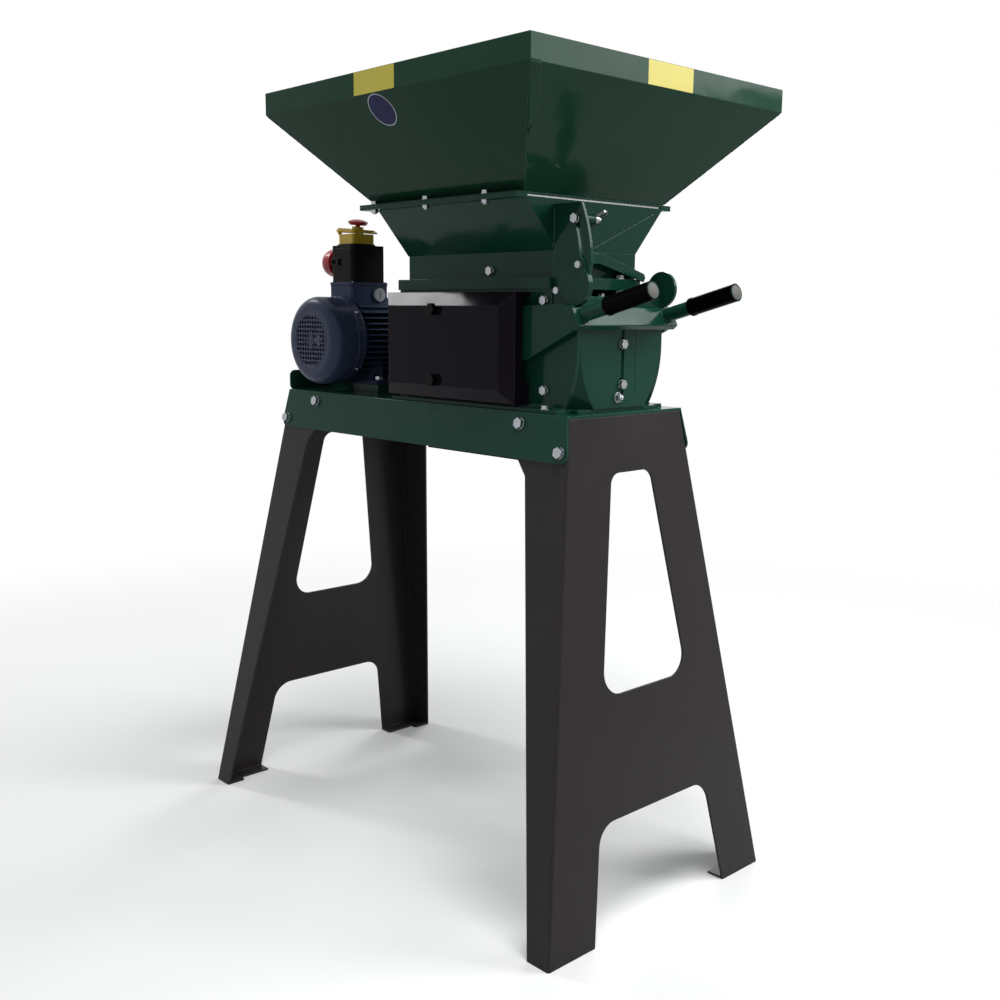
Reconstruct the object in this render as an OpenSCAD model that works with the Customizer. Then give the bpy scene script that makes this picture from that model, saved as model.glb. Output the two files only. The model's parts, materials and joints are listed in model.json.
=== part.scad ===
// Grain flaker: two motor-driven rollers in a housing with a feed hopper, on a pair of folded sheet-metal legs.
// X runs along the base, with the lever grips at +X and the motor at -X. Y runs to the back, Z up.
// The origin lies on the floor, in the middle between the feet.

/* [Base] */
// Height of the top of the base plate above the floor
base_h = 870; // [800:1:950]
// Length of the base plate
base_len = 816; // [806:1:900]
// Depth of the base plate
base_depth = 293.4; // [285:0.1:320]
// Thickness of the base plate
base_t = 5; // [4:0.5:8]
// Height of the front and rear aprons
apron_h = 77; // [70:1:100]
// Thickness of the aprons
apron_t = 3; // [2:0.5:4]
// Radius of the lower apron corners
apron_r = 15; // [2:1:25]
// Height of the turned-up left end
upstand_h = 40; // [20:1:60]
// Thickness of the turned-up left end
upstand_t = 3; // [2:0.5:4]
// Thread of the leg bolts
leg_bolt_d = 10; // [8:1:12]
// Width of the outlet opening along X
outlet_w = 226; // [180:1:226]
// Depth of the outlet opening along Y
outlet_d = 160; // [120:1:160]
// Middle of the outlet along X
outlet_x = 135; // [125:1:145]
// Height of the outlet spout below the base plate
outlet_h = 85; // [70:1:110]
// Sheet thickness of the outlet spout
outlet_t = 2.5; // [1.5:0.5:4]
// Width of the spout's lower flange
outlet_rim = 22; // [15:1:22]

/* [Legs] */
// Distance between the outer faces of the legs on the floor
foot_len = 1040; // [960:1:1100]
// Distance between the outer bends of a leg on the floor
foot_depth = 577; // [520:1:620]
// Sheet thickness of the legs
leg_t = 4; // [3:0.5:6]
// Width of a leg flange on the floor
flange_w_foot = 49; // [40:1:60]
// Width of a leg flange below its mounting tab
flange_w_top = 92; // [75:1:100]
// Width of a leg flange at its mounting tab
leg_tab_w = 125; // [122:1:140]
// Height of the mounting tab
leg_tab_h = 66; // [60:1:80]
// Height of the arch between the feet
arch_h = 195; // [150:1:240]
// Width of the arch on the floor
arch_w = 350; // [300:1:380]
// Width of the top of the arch
arch_top_w = 296; // [240:1:300]
// Radius of the upper arch corners
arch_r = 42; // [20:1:60]
// Height of the top of the leg window
window_top = 770; // [720:1:780]
// Height of the bottom of the leg window
window_bottom = 402; // [350:1:450]
// Width of the leg window at its top
window_w_top = 108; // [90:1:120]
// Width of the leg window at its bottom
window_w_bottom = 210; // [180:1:240]
// Radius of the upper window corners
window_r_top = 22; // [15:1:30]
// Radius of the lower window corners
window_r_bottom = 39; // [25:1:45]
// Width of the foot tabs on the floor
foot_tab_w = 34; // [25:1:40]
// Length of the foot tabs along the web
foot_tab_len = 66; // [40:1:70]

/* [Motor] */
// Distance of the motor axis left of the origin
motor_x = 298; // [290:1:310]
// Height of the motor axis above its feet
motor_h = 90; // [90:1:92]
// Height of the seat rails under the motor
rail_h = 15; // [13:1:16]
// Width of the seat rails
rail_w = 30; // [26:1:34]
// Length of the seat rails
rail_len = 176; // [172:1:190]
// Outer diameter of the fan cover and fins
motor_d = 176; // [172:1:176]
// Diameter of the frame's core under the fins
core_d = 132; // [126:1:136]
// Place of the front face of the fan cover along Y
cover_y = -165; // [-170:1:-160]
// Length of the fan cover
cover_len = 76; // [70:1:78]
// Wall thickness of the fan cover
cover_t = 1.5; // [1:0.5:2.5]
// Radius of the front edge of the fan cover
cover_r = 22; // [8:1:26]
// Radius of the grille in the fan cover
grille_r = 52; // [45:1:58]
// Distance between the bars of the grille
grille_pitch = 9; // [8:0.5:12]
// Width of a bar of the grille
grille_bar = 2.6; // [2:0.2:3.2]
// Length of the finned frame
frame_len = 187; // [180:1:188]
// Distance between fins
fin_pitch = 11.5; // [10:0.5:13]
// Thickness of a fin
fin_t = 3.2; // [2:0.2:4]
// Distance between foot holes across the motor
foot_hole_x = 140; // [136:1:142]
// Distance between foot holes along the motor
foot_hole_y = 100; // [100:1:104]
// Thread of the motor foot bolts
foot_bolt_d = 8; // [6:1:8]
// Diameter of the motor shaft
motor_shaft_d = 24; // [20:1:26]

/* [Switch unit] */
// Width of the terminal box along X
tbox_w = 79; // [78:1:84]
// Depth of the terminal box along Y
tbox_d = 92; // [86:1:94]
// Height of the terminal box
tbox_h = 45; // [42:1:46]
// Diameter of the round plug in the terminal box
plug_d = 27; // [18:1:28]
// Width of the switch box along X
sbox_w = 72; // [71:1:73]
// Depth of the switch box along Y
sbox_d = 81; // [78:1:84]
// Height of the switch box
sbox_h = 74; // [72:1:76]
// Diameter of the cap over the inlet
inlet_cap_d = 58; // [54:1:62]
// Thickness of the inlet cap
inlet_cap_t = 20; // [14:1:22]
// Width of the stop housing along X
stop_w = 51; // [48:1:54]
// Depth of the stop housing along Y
stop_d = 55; // [50:1:58]
// Height of the stop housing
stop_h = 20; // [18:1:20]
// Diameter of the stop mushroom
mushroom_d = 41; // [38:1:42]
// Height of the stop mushroom
mushroom_h = 12; // [12:1:14]
// Diameter of the keys under the lid
key_d = 15; // [12:1:16]
// Key travel
key_travel = 2.5; // [2:0.5:2.5]

/* [Housing] */
// Place of the left end of the housing along X
house_left = -75; // [-78:1:-74]
// Radius of the right ends of the side plates about the lever pivot
cheek_r = 214; // [212:1:214]
// Clear width between the side plates
house_w = 200; // [200:1:201]
// Thickness of the side plates
side_t = 8; // [8:0.1:8.4]
// Height of the side plates
house_h = 205; // [204:1:205]
// Thickness of the foot flanges
flange_t = 6; // [5:0.5:7]
// Width of the foot flanges
foot_flange_w = 35; // [33:1:36]
// Thickness of the end panel
panel_t = 3; // [2:0.5:4]
// Width of the bevelled flanks of the end panel at the bottom
flank_w = 29; // [20:1:35]
// Width of the slot in the end panel
end_slot_w = 11; // [9:1:13]

/* [Rollers and drive] */
// Diameter of the rollers
roller_d = 142; // [138:1:143]
// Length of the rollers
roller_len = 192; // [190:1:193]
// Gap between the rollers at rest
roller_gap = 2; // [1.5:0.1:2.5]
// Place of the fixed roller along X
fixed_x = 32; // [31:1:33]
// Height of the roller axes above the base plate
roller_z = 108; // [107:1:109]
// Diameter of the roller shafts
shaft_d = 35; // [30:1:36]
// Radial running clearance of shafts and hubs
run_fit = 0.05; // [0.02:0.01:0.09]
// How far the moving roller opens
roller_open = 3; // [2:0.5:4]
// Size of a bearing block along X
block_w = 84; // [80:1:86]
// Height of a bearing block
block_h = 76; // [74:1:78]
// Diameter of the boss that carries the lever
boss_d = 62; // [58:1:64]
// Number of teeth of each gear
gear_teeth = 36; // [36:1:36]
// Width of the gears
gear_w = 14; // [12:1:14]
// Diameter of the driven pulley
driven_d = 180; // [170:1:182]
// Diameter of the motor pulley
motor_pulley_d = 80; // [76:1:82]
// Width of the V-belt
belt_w = 13; // [11:1:13]
// Thickness of the V-belt
belt_t = 8; // [7:0.5:8]
// Depth of the belt guard along Y
belt_guard_d = 48; // [47:1:50]
// Sheet thickness of the belt guard
belt_guard_t = 2; // [1.5:0.5:2]

/* [Gear guard] */
// Width of the gear guard along X
guard_w = 348; // [346:1:350]
// Height of the gear guard
guard_h = 190; // [186:1:190]
// Depth of the gear guard along Y
guard_d = 52; // [52:1:54]
// Inset of the bevelled edges
guard_inset = 24; // [18:1:26]
// Depth of the bevelled edges along Y
guard_bevel = 17; // [14:1:17]
// Sheet thickness of the gear guard
guard_t = 2; // [1.5:0.5:2]
// Diameter of the guard knobs
knob_d = 19; // [17:1:22]

/* [Lever] */
// Downward travel of the lever in degrees
lever_travel = 12; // [8:1:12]
// Thickness of the lever arms
arm_t = 6; // [5:0.5:6]
// Distance between the lever arms, inside
arm_gap = 234; // [234:0.5:234.5]
// Radius of the lever hubs
hub_r = 44; // [40:1:46]
// Width of the cross plate
cross_w = 254; // [250:1:258]
// Thickness of the cross plate
cross_t = 4; // [3:0.5:4]
// Diameter of the lever tubes
tube_d = 25; // [20:0.5:26]
// Distance between the lever tubes
tube_gap = 214; // [212:1:216]
// Slope of the lever tubes above the horizontal
tube_slope = 15.1; // [12:0.1:17]
// Length of the lever tubes
tube_len = 156; // [150:1:170]
// Diameter of the grips
grip_d = 30; // [28:0.5:32]
// Length of the grips
grip_len = 94; // [85:1:100]

/* [Feed] */
// Length of the feed neck along X
neck_len = 388; // [387:1:388]
// Place of the right end of the feed neck
neck_right = 331; // [330:1:331]
// Height of the straight part of the neck
neck_h = 44; // [42:1:44]
// Height of the rail under the neck
neck_rail_h = 19; // [19:1:20]
// Sheet thickness of the neck and funnel
neck_t = 3; // [2:0.5:3]
// Height of the flared funnel
funnel_h = 83; // [80:1:84]
// Depth of the funnel at its top
funnel_d = 346; // [330:1:346]
// Depth of the upper flange along Y
collar_d = 388; // [386:1:392]
// Overhang of the upper flange at the left
collar_over = 28; // [24:1:30]
// Thickness of the slide gate
gate_t = 3; // [2:0.5:3]
// Clearance of the slide gate above and below
gate_fit = 0.1; // [0.05:0.01:0.1]
// How far the slide gate sticks out to the left at rest
gate_out = 33; // [25:1:36]
// Travel of the slide gate
gate_travel = 125; // [100:1:128]
// Place of the feed flap's shaft along X
flap_x = 172; // [170:1:174]
// Diameter of the feed flap's shaft
flap_shaft_d = 16; // [14:1:16]
// Travel of the feed flap in degrees
flap_travel = 14; // [10:1:14]
// Radius from the flap's shaft to the clamp bolt
clamp_r = 222.9; // [221:0.1:224]
// Angle of the clamp bolt above the horizontal at rest
clamp_angle = 21; // [20.5:0.1:21.5]
// Thickness of the quadrant plate
quad_t = 6; // [5:0.5:7]
// Thread of the clamp bolt
clamp_d = 8; // [8:1:10]
// Thread of the two screws of the quadrant plate
pin_d = 6; // [5:1:8]
// Radius of the round stop lobes
lobe_r = 33; // [31:0.5:33]

/* [Hopper] */
// Length of the hopper rim along X
rim_len = 690.5; // [640:0.5:700]
// Place of the right side of the rim
rim_right = 479.5; // [470:0.5:490]
// Depth of the hopper rim along Y
rim_depth = 623; // [600:1:640]
// Height of the straight rim band
rim_h = 38.4; // [30:0.2:45]
// Height of the sloped part of the hopper
slope_h = 160; // [140:1:180]
// Sheet thickness of the hopper
hopper_t = 2.5; // [2:0.5:3]
// Width of the folded lip inside the rim
lip_w = 12; // [8:1:16]
// Thread of the flange bolts
flange_bolt_d = 7; // [6:1:7]

/* [Hidden] */
$fn = 64;

green = [0.11, 0.26, 0.18];
dark_green = [0.09, 0.2, 0.15];
anthracite = [0.17, 0.17, 0.18];
motor_blue = [0.16, 0.19, 0.26];
black = [0.05, 0.05, 0.06];
yellow = [0.93, 0.75, 0.1];
red = [0.78, 0.1, 0.1];
zinc = [0.75, 0.76, 0.78];
steel = [0.55, 0.56, 0.58];

hole_fit = 0.5;
eps = 1;
lean_x = atan((foot_len - base_len) / 2 / base_h);
lean_y = atan((foot_depth - base_depth) / 2 / base_h);
leg_top = base_h - base_t;
bend_r = leg_t + 1;
leg_bolt_at = [[402, 60], [302, 19]];
motor_z = base_h + rail_h + motor_h;
rotor_mid = 4;
frame_front = cover_y + cover_len;
frame_back = frame_front + frame_len;
motor_foot_h = 10;
tbox_z = motor_z + 73;
tbox_x = -motor_x - 0.5;
tbox_y = -42;
sbox_x = tbox_x + 3;
sbox_y = -45.5;
sbox_z = tbox_z + tbox_h;
stop_base_h = 3;
stop_x = tbox_x + 7.5;
stop_y = -52.5;
stop_z = sbox_z + sbox_h + stop_base_h;
lid_hinge_x = stop_x - stop_w / 2 - 5;
lid_hinge_z = stop_z + stop_h + 8;
lid_low = lid_hinge_z - 1;
lid_top = lid_hinge_z + 6;
lid_tilt = 6;
collar_h = 5;
mushroom_at = [tbox_x, -44];
inlet_z = sbox_z + 41;
inlet_len = 20;
inlet_y = -50;
axis_z = base_h + roller_z;
moving_x = fixed_x + roller_d + roller_gap;
side_y = house_w / 2;
side_out = side_y + side_t;
house_right = moving_x + cheek_r;
house_top = base_h + house_h;
end_top = house_top - 15;
neck_rail_top = house_top + neck_rail_h;
neck_left = neck_right - neck_len;
neck_top = neck_rail_top + neck_h;
funnel_top = neck_top + funnel_h;
gate_z = funnel_top + gate_fit;
collar_z = funnel_top + gate_t + 2 * gate_fit;
hopper_z = collar_z + neck_t;
gate_w = 336;
collar_left = neck_left - collar_over;
bearing_depth = 16;
bearing_end = side_out + bearing_depth;
gear_y = bearing_end + 1;
module_size = (moving_x - fixed_x) / gear_teeth;
belt_mid = side_out + 30;
pulley_w = 20;
clamp_at = [flap_x + clamp_r * cos(clamp_angle), neck_rail_top + 13 + clamp_r * sin(clamp_angle)];
flap_z = neck_rail_top + 13;
rail_wall = 6;
chute_y = side_y - rail_wall - 0.5;
lobe_at = [moving_x + 206, axis_z + 102];
neck_bolt_at = [neck_right + 10, house_top - 3];
rail_bolt_at = [neck_right + 8.2, 50];
pin_bolt_at = [neck_right + 62, axis_z + 135];
flange_bolt_at = [-49, 98, 251];
foot_bolt_at = [335, -40];
tube_root = [moving_x + 219, axis_z + 53];
cheek_top = axis_z + 66;
plate_bolt_at = [[317, 36], [314, 186], [-54, 30], [-54, 185]];
knob_at = [fixed_x + 55, axis_z + 62];
knob_low = axis_z - 64;
guard_left = house_left + 6;

function web_x(z) = base_len / 2 + (base_h - z) * tan(lean_x);
function edge_y(z) = base_depth / 2 + (base_h - z) * tan(lean_y);
function leg_y(z) = edge_y(z) - apron_t / cos(lean_y);
function slope_x(z) = (z - base_h) / cos(lean_x);
function slope_y(z) = (z - base_h) / cos(lean_y);

// The two ways to stand something on a sloping face: the outer face of the right web, and of the front apron
module on_web() translate([base_len / 2, 0, base_h]) rotate([0, -lean_x, 0]) children();
module on_apron() translate([0, -base_depth / 2, base_h]) rotate([-lean_y, 0, 0]) children();

// Extrudes a drawing in X and Z along Y, from y0 to y1
module along_y(y0, y1) translate([0, y1, 0]) rotate([90, 0, 0]) linear_extrude(y1 - y0) children();

// A rod along Y, from y0 to y1
module rod_y(x, z, d, y0, y1) translate([x, y0, z]) rotate([-90, 0, 0]) cylinder(d = d, h = y1 - y0);

// A plain box between two corners
module box(a, b) translate(a) cube(b - a);

// A rectangle with round corners
module round_rect(w, d, r) {
    square([w - 2 * r, d], center = true);
    square([w, d - 2 * r], center = true);
    for (x = [-1, 1], y = [-1, 1]) translate([x * (w / 2 - r), y * (d / 2 - r)]) circle(r);
}

// Two circles joined by their common tangents
module link(a, ra, b, rb) {
    d = norm(b - a);
    lie = atan2(b[1] - a[1], b[0] - a[0]);
    side = acos((ra - rb) / d);
    translate(a) circle(ra);
    translate(b) circle(rb);
    polygon([
        a + ra * [cos(lie + side), sin(lie + side)],
        b + rb * [cos(lie + side), sin(lie + side)],
        b + rb * [cos(lie - side), sin(lie - side)],
        a + ra * [cos(lie - side), sin(lie - side)]
    ]);
}

// A bent strip of constant thickness through the given points
module strip(points, t) {
    for (i = [0 : len(points) - 2]) {
        run = points[i + 1] - points[i];
        translate(points[i]) rotate(atan2(run[1], run[0])) translate([0, -t / 2]) square([norm(run), t]);
    }
    for (p = points) translate(p) circle(t / 2 - 0.02);
}

// A hexagon bolt with washers and nut that clamps from z = -grip to z = 0
module bolt(d, grip, nut = true) {
    across = (1.5 * d + 2) / cos(30);
    washer = d / 5;
    end = grip + (nut ? 1.1 * d : 0);
    cylinder(d = 2 * d, h = washer);
    translate([0, 0, washer]) rotate(30) cylinder(d = across, h = 0.65 * d, $fn = 6);
    translate([0, 0, -end]) cylinder(d = d, h = end + washer + d / 4);
    if (nut) translate([0, 0, -grip - 0.8 * d]) rotate(30) cylinder(d = across, h = 0.8 * d, $fn = 6);
}

// The hole for such a bolt
module bolt_hole(d, grip) translate([0, 0, -grip - eps]) cylinder(d = d + 2 * hole_fit, h = grip + 2 * eps);

// Calls its children at every leg bolt of one leg pair, with +Z pointing out of the apron
module at_leg_bolts(side = 0) {
    for (rear = [0, 1], p = leg_bolt_at, s = side == 0 ? [-1, 1] : [side])
        mirror([0, rear, 0]) on_apron() translate([s * p[0], 0, -p[1]]) rotate([90, 0, 0]) children();
}

// Leg frames
module leg_web() {
    on_web() translate([-leg_t, 0, 0]) rotate([90, 0, 90]) linear_extrude(leg_t) difference() {
        polygon([
            [-leg_y(leg_top) + bend_r, slope_x(leg_top)], [leg_y(leg_top) - bend_r, slope_x(leg_top)],
            [leg_y(0) - bend_r, slope_x(0)], [-leg_y(0) + bend_r, slope_x(0)]
        ]);
        hull() {
            for (s = [-1, 1]) {
                translate([s * (window_w_top / 2 - window_r_top), slope_x(window_top) - window_r_top])
                    circle(window_r_top);
                translate([s * (window_w_bottom / 2 - window_r_bottom), slope_x(window_bottom) + window_r_bottom])
                    circle(window_r_bottom);
            }
        }
        hull() {
            for (s = [-1, 1]) {
                translate([s * (arch_top_w / 2 - arch_r), slope_x(arch_h) - arch_r]) circle(arch_r);
                translate([s * arch_w / 2, slope_x(0) - eps]) circle(0.5, $fn = 4);
            }
        }
    }
}

module leg_flange() {
    tab_z = leg_top - leg_tab_h;
    translate([0, -leg_y(base_h), base_h]) rotate([-lean_y, 0, 0]) rotate([90, 0, 0])
        translate([0, 0, -leg_t]) linear_extrude(leg_t) polygon([
            [web_x(leg_top) - bend_r, slope_y(leg_top)], [web_x(0) - bend_r, slope_y(0)],
            [web_x(0) - flange_w_foot, slope_y(0)],
            [web_x(tab_z) - flange_w_top, slope_y(tab_z) - 34],
            [web_x(tab_z) - leg_tab_w + 4, slope_y(tab_z)],
            [web_x(tab_z) - leg_tab_w, slope_y(tab_z) + 8],
            [web_x(leg_top) - leg_tab_w, slope_y(leg_top)]
        ]);
}

// Rounded bend between the web and the front flange
module leg_bend() {
    from = [web_x(-20) - bend_r, -leg_y(-20) + bend_r, -20];
    to = [web_x(base_h + 20) - bend_r, -leg_y(base_h + 20) + bend_r, base_h + 20];
    run = to - from;
    lie = atan2(run[1], run[0]);
    inner = bend_r - leg_t + 0.1;
    translate(from) rotate([0, acos(run[2] / norm(run)), lie]) rotate(-lie)
        linear_extrude(norm(run)) difference() {
            rotate(20) circle(bend_r - 0.15);
            translate([inner - 2 * bend_r, -inner]) square(2 * bend_r);
        }
}

module leg_frame() {
    notch = 5;
    color(anthracite) difference() {
        union() {
            intersection() {
                translate([0, -foot_depth, 0]) cube([foot_len, 2 * foot_depth, leg_top]);
                union() {
                    leg_web();
                    for (rear = [0, 1]) mirror([0, rear, 0]) {
                        leg_flange();
                        leg_bend();
                    }
                }
            }
            for (rear = [0, 1]) mirror([0, rear, 0]) {
                box([web_x(0) - foot_tab_w, arch_w / 2, 0], [web_x(leg_t) - 1, arch_w / 2 + foot_tab_len, leg_t]);
                box([web_x(0) - flange_w_foot, arch_w / 2 + foot_tab_len + notch, 0],
                    [web_x(leg_t) - 1, leg_y(leg_t) - 1, leg_t]);
            }
        }
        at_leg_bolts(1) bolt_hole(leg_bolt_d, 12);
    }
}

module leg_frame_right() leg_frame();
module leg_frame_left() mirror([1, 0, 0]) leg_frame();

module leg_bolts() color(zinc) at_leg_bolts() bolt(leg_bolt_d, apron_t + leg_t);

// Base
module at_motor_feet() {
    for (x = [-1, 1], y = [-1, 1])
        translate([-motor_x + x * foot_hole_x / 2, rotor_mid + y * foot_hole_y / 2, base_h + rail_h + motor_foot_h])
            children();
}

module at_housing_feet(x) for (s = [-1, 1]) translate([x, s * (side_out + 17), base_h + flange_t]) children();

module base_pan() {
    low = slope_y(base_h - apron_h);
    color(green) difference() {
        union() {
            box([-base_len / 2, -base_depth / 2, leg_top], [base_len / 2, base_depth / 2, base_h]);
            for (rear = [0, 1]) mirror([0, rear, 0]) on_apron()
                rotate([90, 0, 0]) translate([0, 0, -apron_t]) linear_extrude(apron_t) hull() {
                    for (s = [-1, 1]) {
                        translate([s * (base_len / 2 - 1.5), -2]) square(2, center = true);
                        translate([s * (web_x(base_h - apron_h) - apron_r), low + apron_r]) circle(apron_r);
                    }
                }
            translate([-base_len / 2, 0, base_h + upstand_h / 2 - 1]) rotate([90, 0, 90])
                linear_extrude(upstand_t) round_rect(base_depth - 3, upstand_h + 2, 12);
            box([-base_len / 2, 12 - base_depth / 2, base_h - 1], [upstand_t - base_len / 2, base_depth / 2 - 12, base_h + 15]);
        }
        at_leg_bolts() bolt_hole(leg_bolt_d, 12);
        at_motor_feet() bolt_hole(foot_bolt_d, 40);
        for (x = foot_bolt_at) at_housing_feet(x) bolt_hole(foot_bolt_d, 20);
        box([outlet_x - outlet_w / 2, -outlet_d / 2, leg_top - eps],
            [outlet_x + outlet_w / 2, outlet_d / 2, base_h + eps]);
    }
}

module spout_ring(extra, z0, z1) {
    box([outlet_x - outlet_w / 2 - extra, -outlet_d / 2 - extra, z0],
        [outlet_x + outlet_w / 2 + extra, outlet_d / 2 + extra, z1]);
}

module outlet_spout() {
    low = leg_top - outlet_h;
    color(dark_green) difference() {
        union() {
            spout_ring(outlet_t, low, leg_top);
            spout_ring(outlet_rim, low, low + outlet_t);
            spout_ring(outlet_rim - 4, leg_top - outlet_t, leg_top);
        }
        spout_ring(0, low - eps, leg_top + eps);
    }
}

// Motor
module motor_rails() {
    color(green) difference() {
        for (s = [-1, 1]) translate([-motor_x, rotor_mid + s * foot_hole_y / 2, base_h])
            linear_extrude(rail_h) square([rail_len, rail_w], center = true);
        at_motor_feet() bolt_hole(foot_bolt_d, 40);
    }
}

module motor_foot_bolts() color(zinc) at_motor_feet() bolt(foot_bolt_d, motor_foot_h + rail_h + base_t);

module motor_fins() {
    r = motor_d / 2;
    count = 6;
    intersection() {
        circle(r);
        union() {
            for (i = [-count : count]) translate([0, i * fin_pitch]) square([motor_d, fin_t], center = true);
            for (i = [-4 : 4]) translate([i * fin_pitch - fin_t / 2, core_d / 2 - 8]) square([fin_t, 50]);
            for (i = [-3 : 3]) translate([i * fin_pitch - fin_t / 2, -core_d / 2 - 30]) square([fin_t, 40]);
        }
    }
}

module motor_frame() {
    foot_w = foot_hole_x + 26;
    foot_z = base_h + rail_h;
    color(motor_blue) difference() {
        union() {
            translate([-motor_x, 0, motor_z]) {
                along_y(frame_front + 10, frame_back - 10) motor_fins();
                along_y(frame_front, frame_back) circle(d = core_d);
                for (y = [frame_front, frame_back - 10]) along_y(y, y + 10) circle(d = core_d + 28);
            }
            for (s = [-1, 1]) translate([-motor_x, rotor_mid + s * foot_hole_y / 2, 0]) {
                translate([0, 0, foot_z]) linear_extrude(motor_foot_h) round_rect(foot_w, 34, 5);
                for (side = [-1, 1]) box([side * 62 - 6, -12, foot_z], [side * 62 + 6, 12, motor_z - 30]);
                box([-56, -12, foot_z], [56, 12, motor_z - core_d / 2 + 8]);
            }
            translate([tbox_x, tbox_y, motor_z + core_d / 2 - 9]) linear_extrude(tbox_z - motor_z - core_d / 2 + 9)
                round_rect(tbox_w - 18, tbox_d - 18, 6);
        }
        translate([tbox_x, tbox_y, tbox_z]) linear_extrude(60) square([tbox_w + 10, tbox_d + 6], center = true);
        rod_y(-motor_x, motor_z, core_d - 16, frame_front - eps, frame_back + eps);
        at_motor_feet() bolt_hole(foot_bolt_d, 40);
        at_motor_feet() cylinder(d = 3 * foot_bolt_d, h = 13);
    }
}

module end_shields() {
    lug_r = 6;
    color(motor_blue) {
        for (rear = [0, 1]) difference() {
            translate([-motor_x, 0, motor_z]) {
                along_y(rear ? frame_back : frame_front - 8, rear ? frame_back + 8 : frame_front)
                    circle(r = rear ? core_d / 2 + 14 : motor_d / 2 - cover_t);
                along_y(rear ? frame_back + 8 : frame_front - 14, rear ? frame_back + 14 : frame_front - 8)
                    circle(d = 74);
                for (a = [45 : 90 : 315]) along_y(rear ? frame_back : frame_front - 8, rear ? frame_back + 10 : frame_front)
                    translate(72 * [cos(a), sin(a)]) circle(lug_r);
            }
            rod_y(-motor_x, motor_z, (rear ? motor_shaft_d + 6 : motor_shaft_d - 4) + 2 * run_fit,
                rear ? frame_back - eps : frame_front - 20, rear ? frame_back + 20 : frame_front + eps);
        }
    }
}

module fan_cover() {
    r = motor_d / 2;
    count = ceil(grille_r / grille_pitch);
    color([0.3, 0.33, 0.4]) difference() {
        translate([-motor_x, cover_y, motor_z]) rotate([-90, 0, 0]) rotate_extrude() difference() {
            union() {
                translate([0, cover_r]) square([r, cover_len - cover_r]);
                square([r - cover_r, cover_len]);
                translate([r - cover_r, cover_r]) circle(cover_r);
            }
            translate([0, cover_r]) square([r - cover_t, cover_len]);
            translate([0, cover_t]) square([r - cover_r, cover_len]);
            translate([r - cover_r, cover_r]) circle(cover_r - cover_t);
            translate([-cover_r, -eps]) square([cover_r, 2 * cover_len]);
        }
        translate([-motor_x, 0, motor_z]) along_y(cover_y - eps, cover_y + 2 * cover_t) intersection() {
            difference() {
                circle(grille_r);
                circle(grille_pitch);
            }
            for (i = [-count : count], j = [-count : count]) translate(grille_pitch * [i, j])
                square(grille_pitch - grille_bar, center = true);
        }
    }
}

module motor_rotor() {
    color(steel) {
        rod_y(-motor_x, motor_z, motor_shaft_d - 4, cover_y + 18, frame_front + 30);
        rod_y(-motor_x, motor_z, core_d - 28, frame_front + 30, frame_back - 30);
        rod_y(-motor_x, motor_z, motor_shaft_d + 6, frame_back - 30, frame_back + 14);
        rod_y(-motor_x, motor_z, motor_shaft_d, frame_back + 14, frame_back + 62);
    }
}

module cooling_fan() {
    color(black) difference() {
        translate([-motor_x, 0, motor_z]) {
            along_y(cover_y + 20, frame_front - 18) circle(d = 44);
            along_y(frame_front - 22, frame_front - 18) circle(r = motor_d / 2 - 16);
            for (a = [0 : 360 / 7 : 359]) along_y(cover_y + 22, frame_front - 20)
                rotate(a) translate([20, -1.5]) square([motor_d / 2 - 38, 3]);
        }
        rod_y(-motor_x, motor_z, motor_shaft_d - 4, cover_y, frame_front);
    }
}

// A flat pulley with a groove for the belt
module pulley(x, z, d, bore) {
    depth = belt_t + 3;
    color(steel) difference() {
        rod_y(x, z, d, belt_mid - pulley_w / 2, belt_mid + pulley_w / 2);
        difference() {
            rod_y(x, z, d + 4, belt_mid - belt_w / 2 - 0.4, belt_mid + belt_w / 2 + 0.4);
            rod_y(x, z, d - 2 * depth, belt_mid - belt_w, belt_mid + belt_w);
        }
        rod_y(x, z, bore, belt_mid - pulley_w, belt_mid + pulley_w);
    }
}

module motor_pulley() pulley(-motor_x, motor_z, motor_pulley_d, motor_shaft_d);
module driven_pulley() pulley(fixed_x, axis_z, driven_d, shaft_d);

module drive_belt() {
    a = [-motor_x, motor_z];
    b = [fixed_x, axis_z];
    color(black) along_y(belt_mid - belt_w / 2, belt_mid + belt_w / 2) difference() {
        hull() {
            translate(a) circle(d = motor_pulley_d);
            translate(b) circle(d = driven_d);
        }
        hull() {
            translate(a) circle(r = motor_pulley_d / 2 - belt_t);
            translate(b) circle(r = driven_d / 2 - belt_t);
        }
    }
}

module belt_guard() {
    a = [-motor_x, motor_z];
    b = [fixed_x, axis_z];
    t = belt_guard_t;
    posts = [[-50, axis_z - 45], [-50, axis_z + 48], [96, axis_z - 60]];
    color(black) difference() {
        union() {
            along_y(bearing_end, bearing_end + belt_guard_d)
                link(a, motor_pulley_d / 2 + 12, b, driven_d / 2 + 10);
            for (p = posts) rod_y(p[0], p[1], 16, side_out, bearing_end + t);
        }
        along_y(bearing_end + t, bearing_end + belt_guard_d - t)
            link(a, motor_pulley_d / 2 + 12 - t, b, driven_d / 2 + 10 - t);
        rod_y(-motor_x, motor_z, 60, bearing_end - eps, bearing_end + t + eps);
        rod_y(fixed_x, axis_z, shaft_d + 10, bearing_end - eps, bearing_end + t + eps);
    }
}

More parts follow.
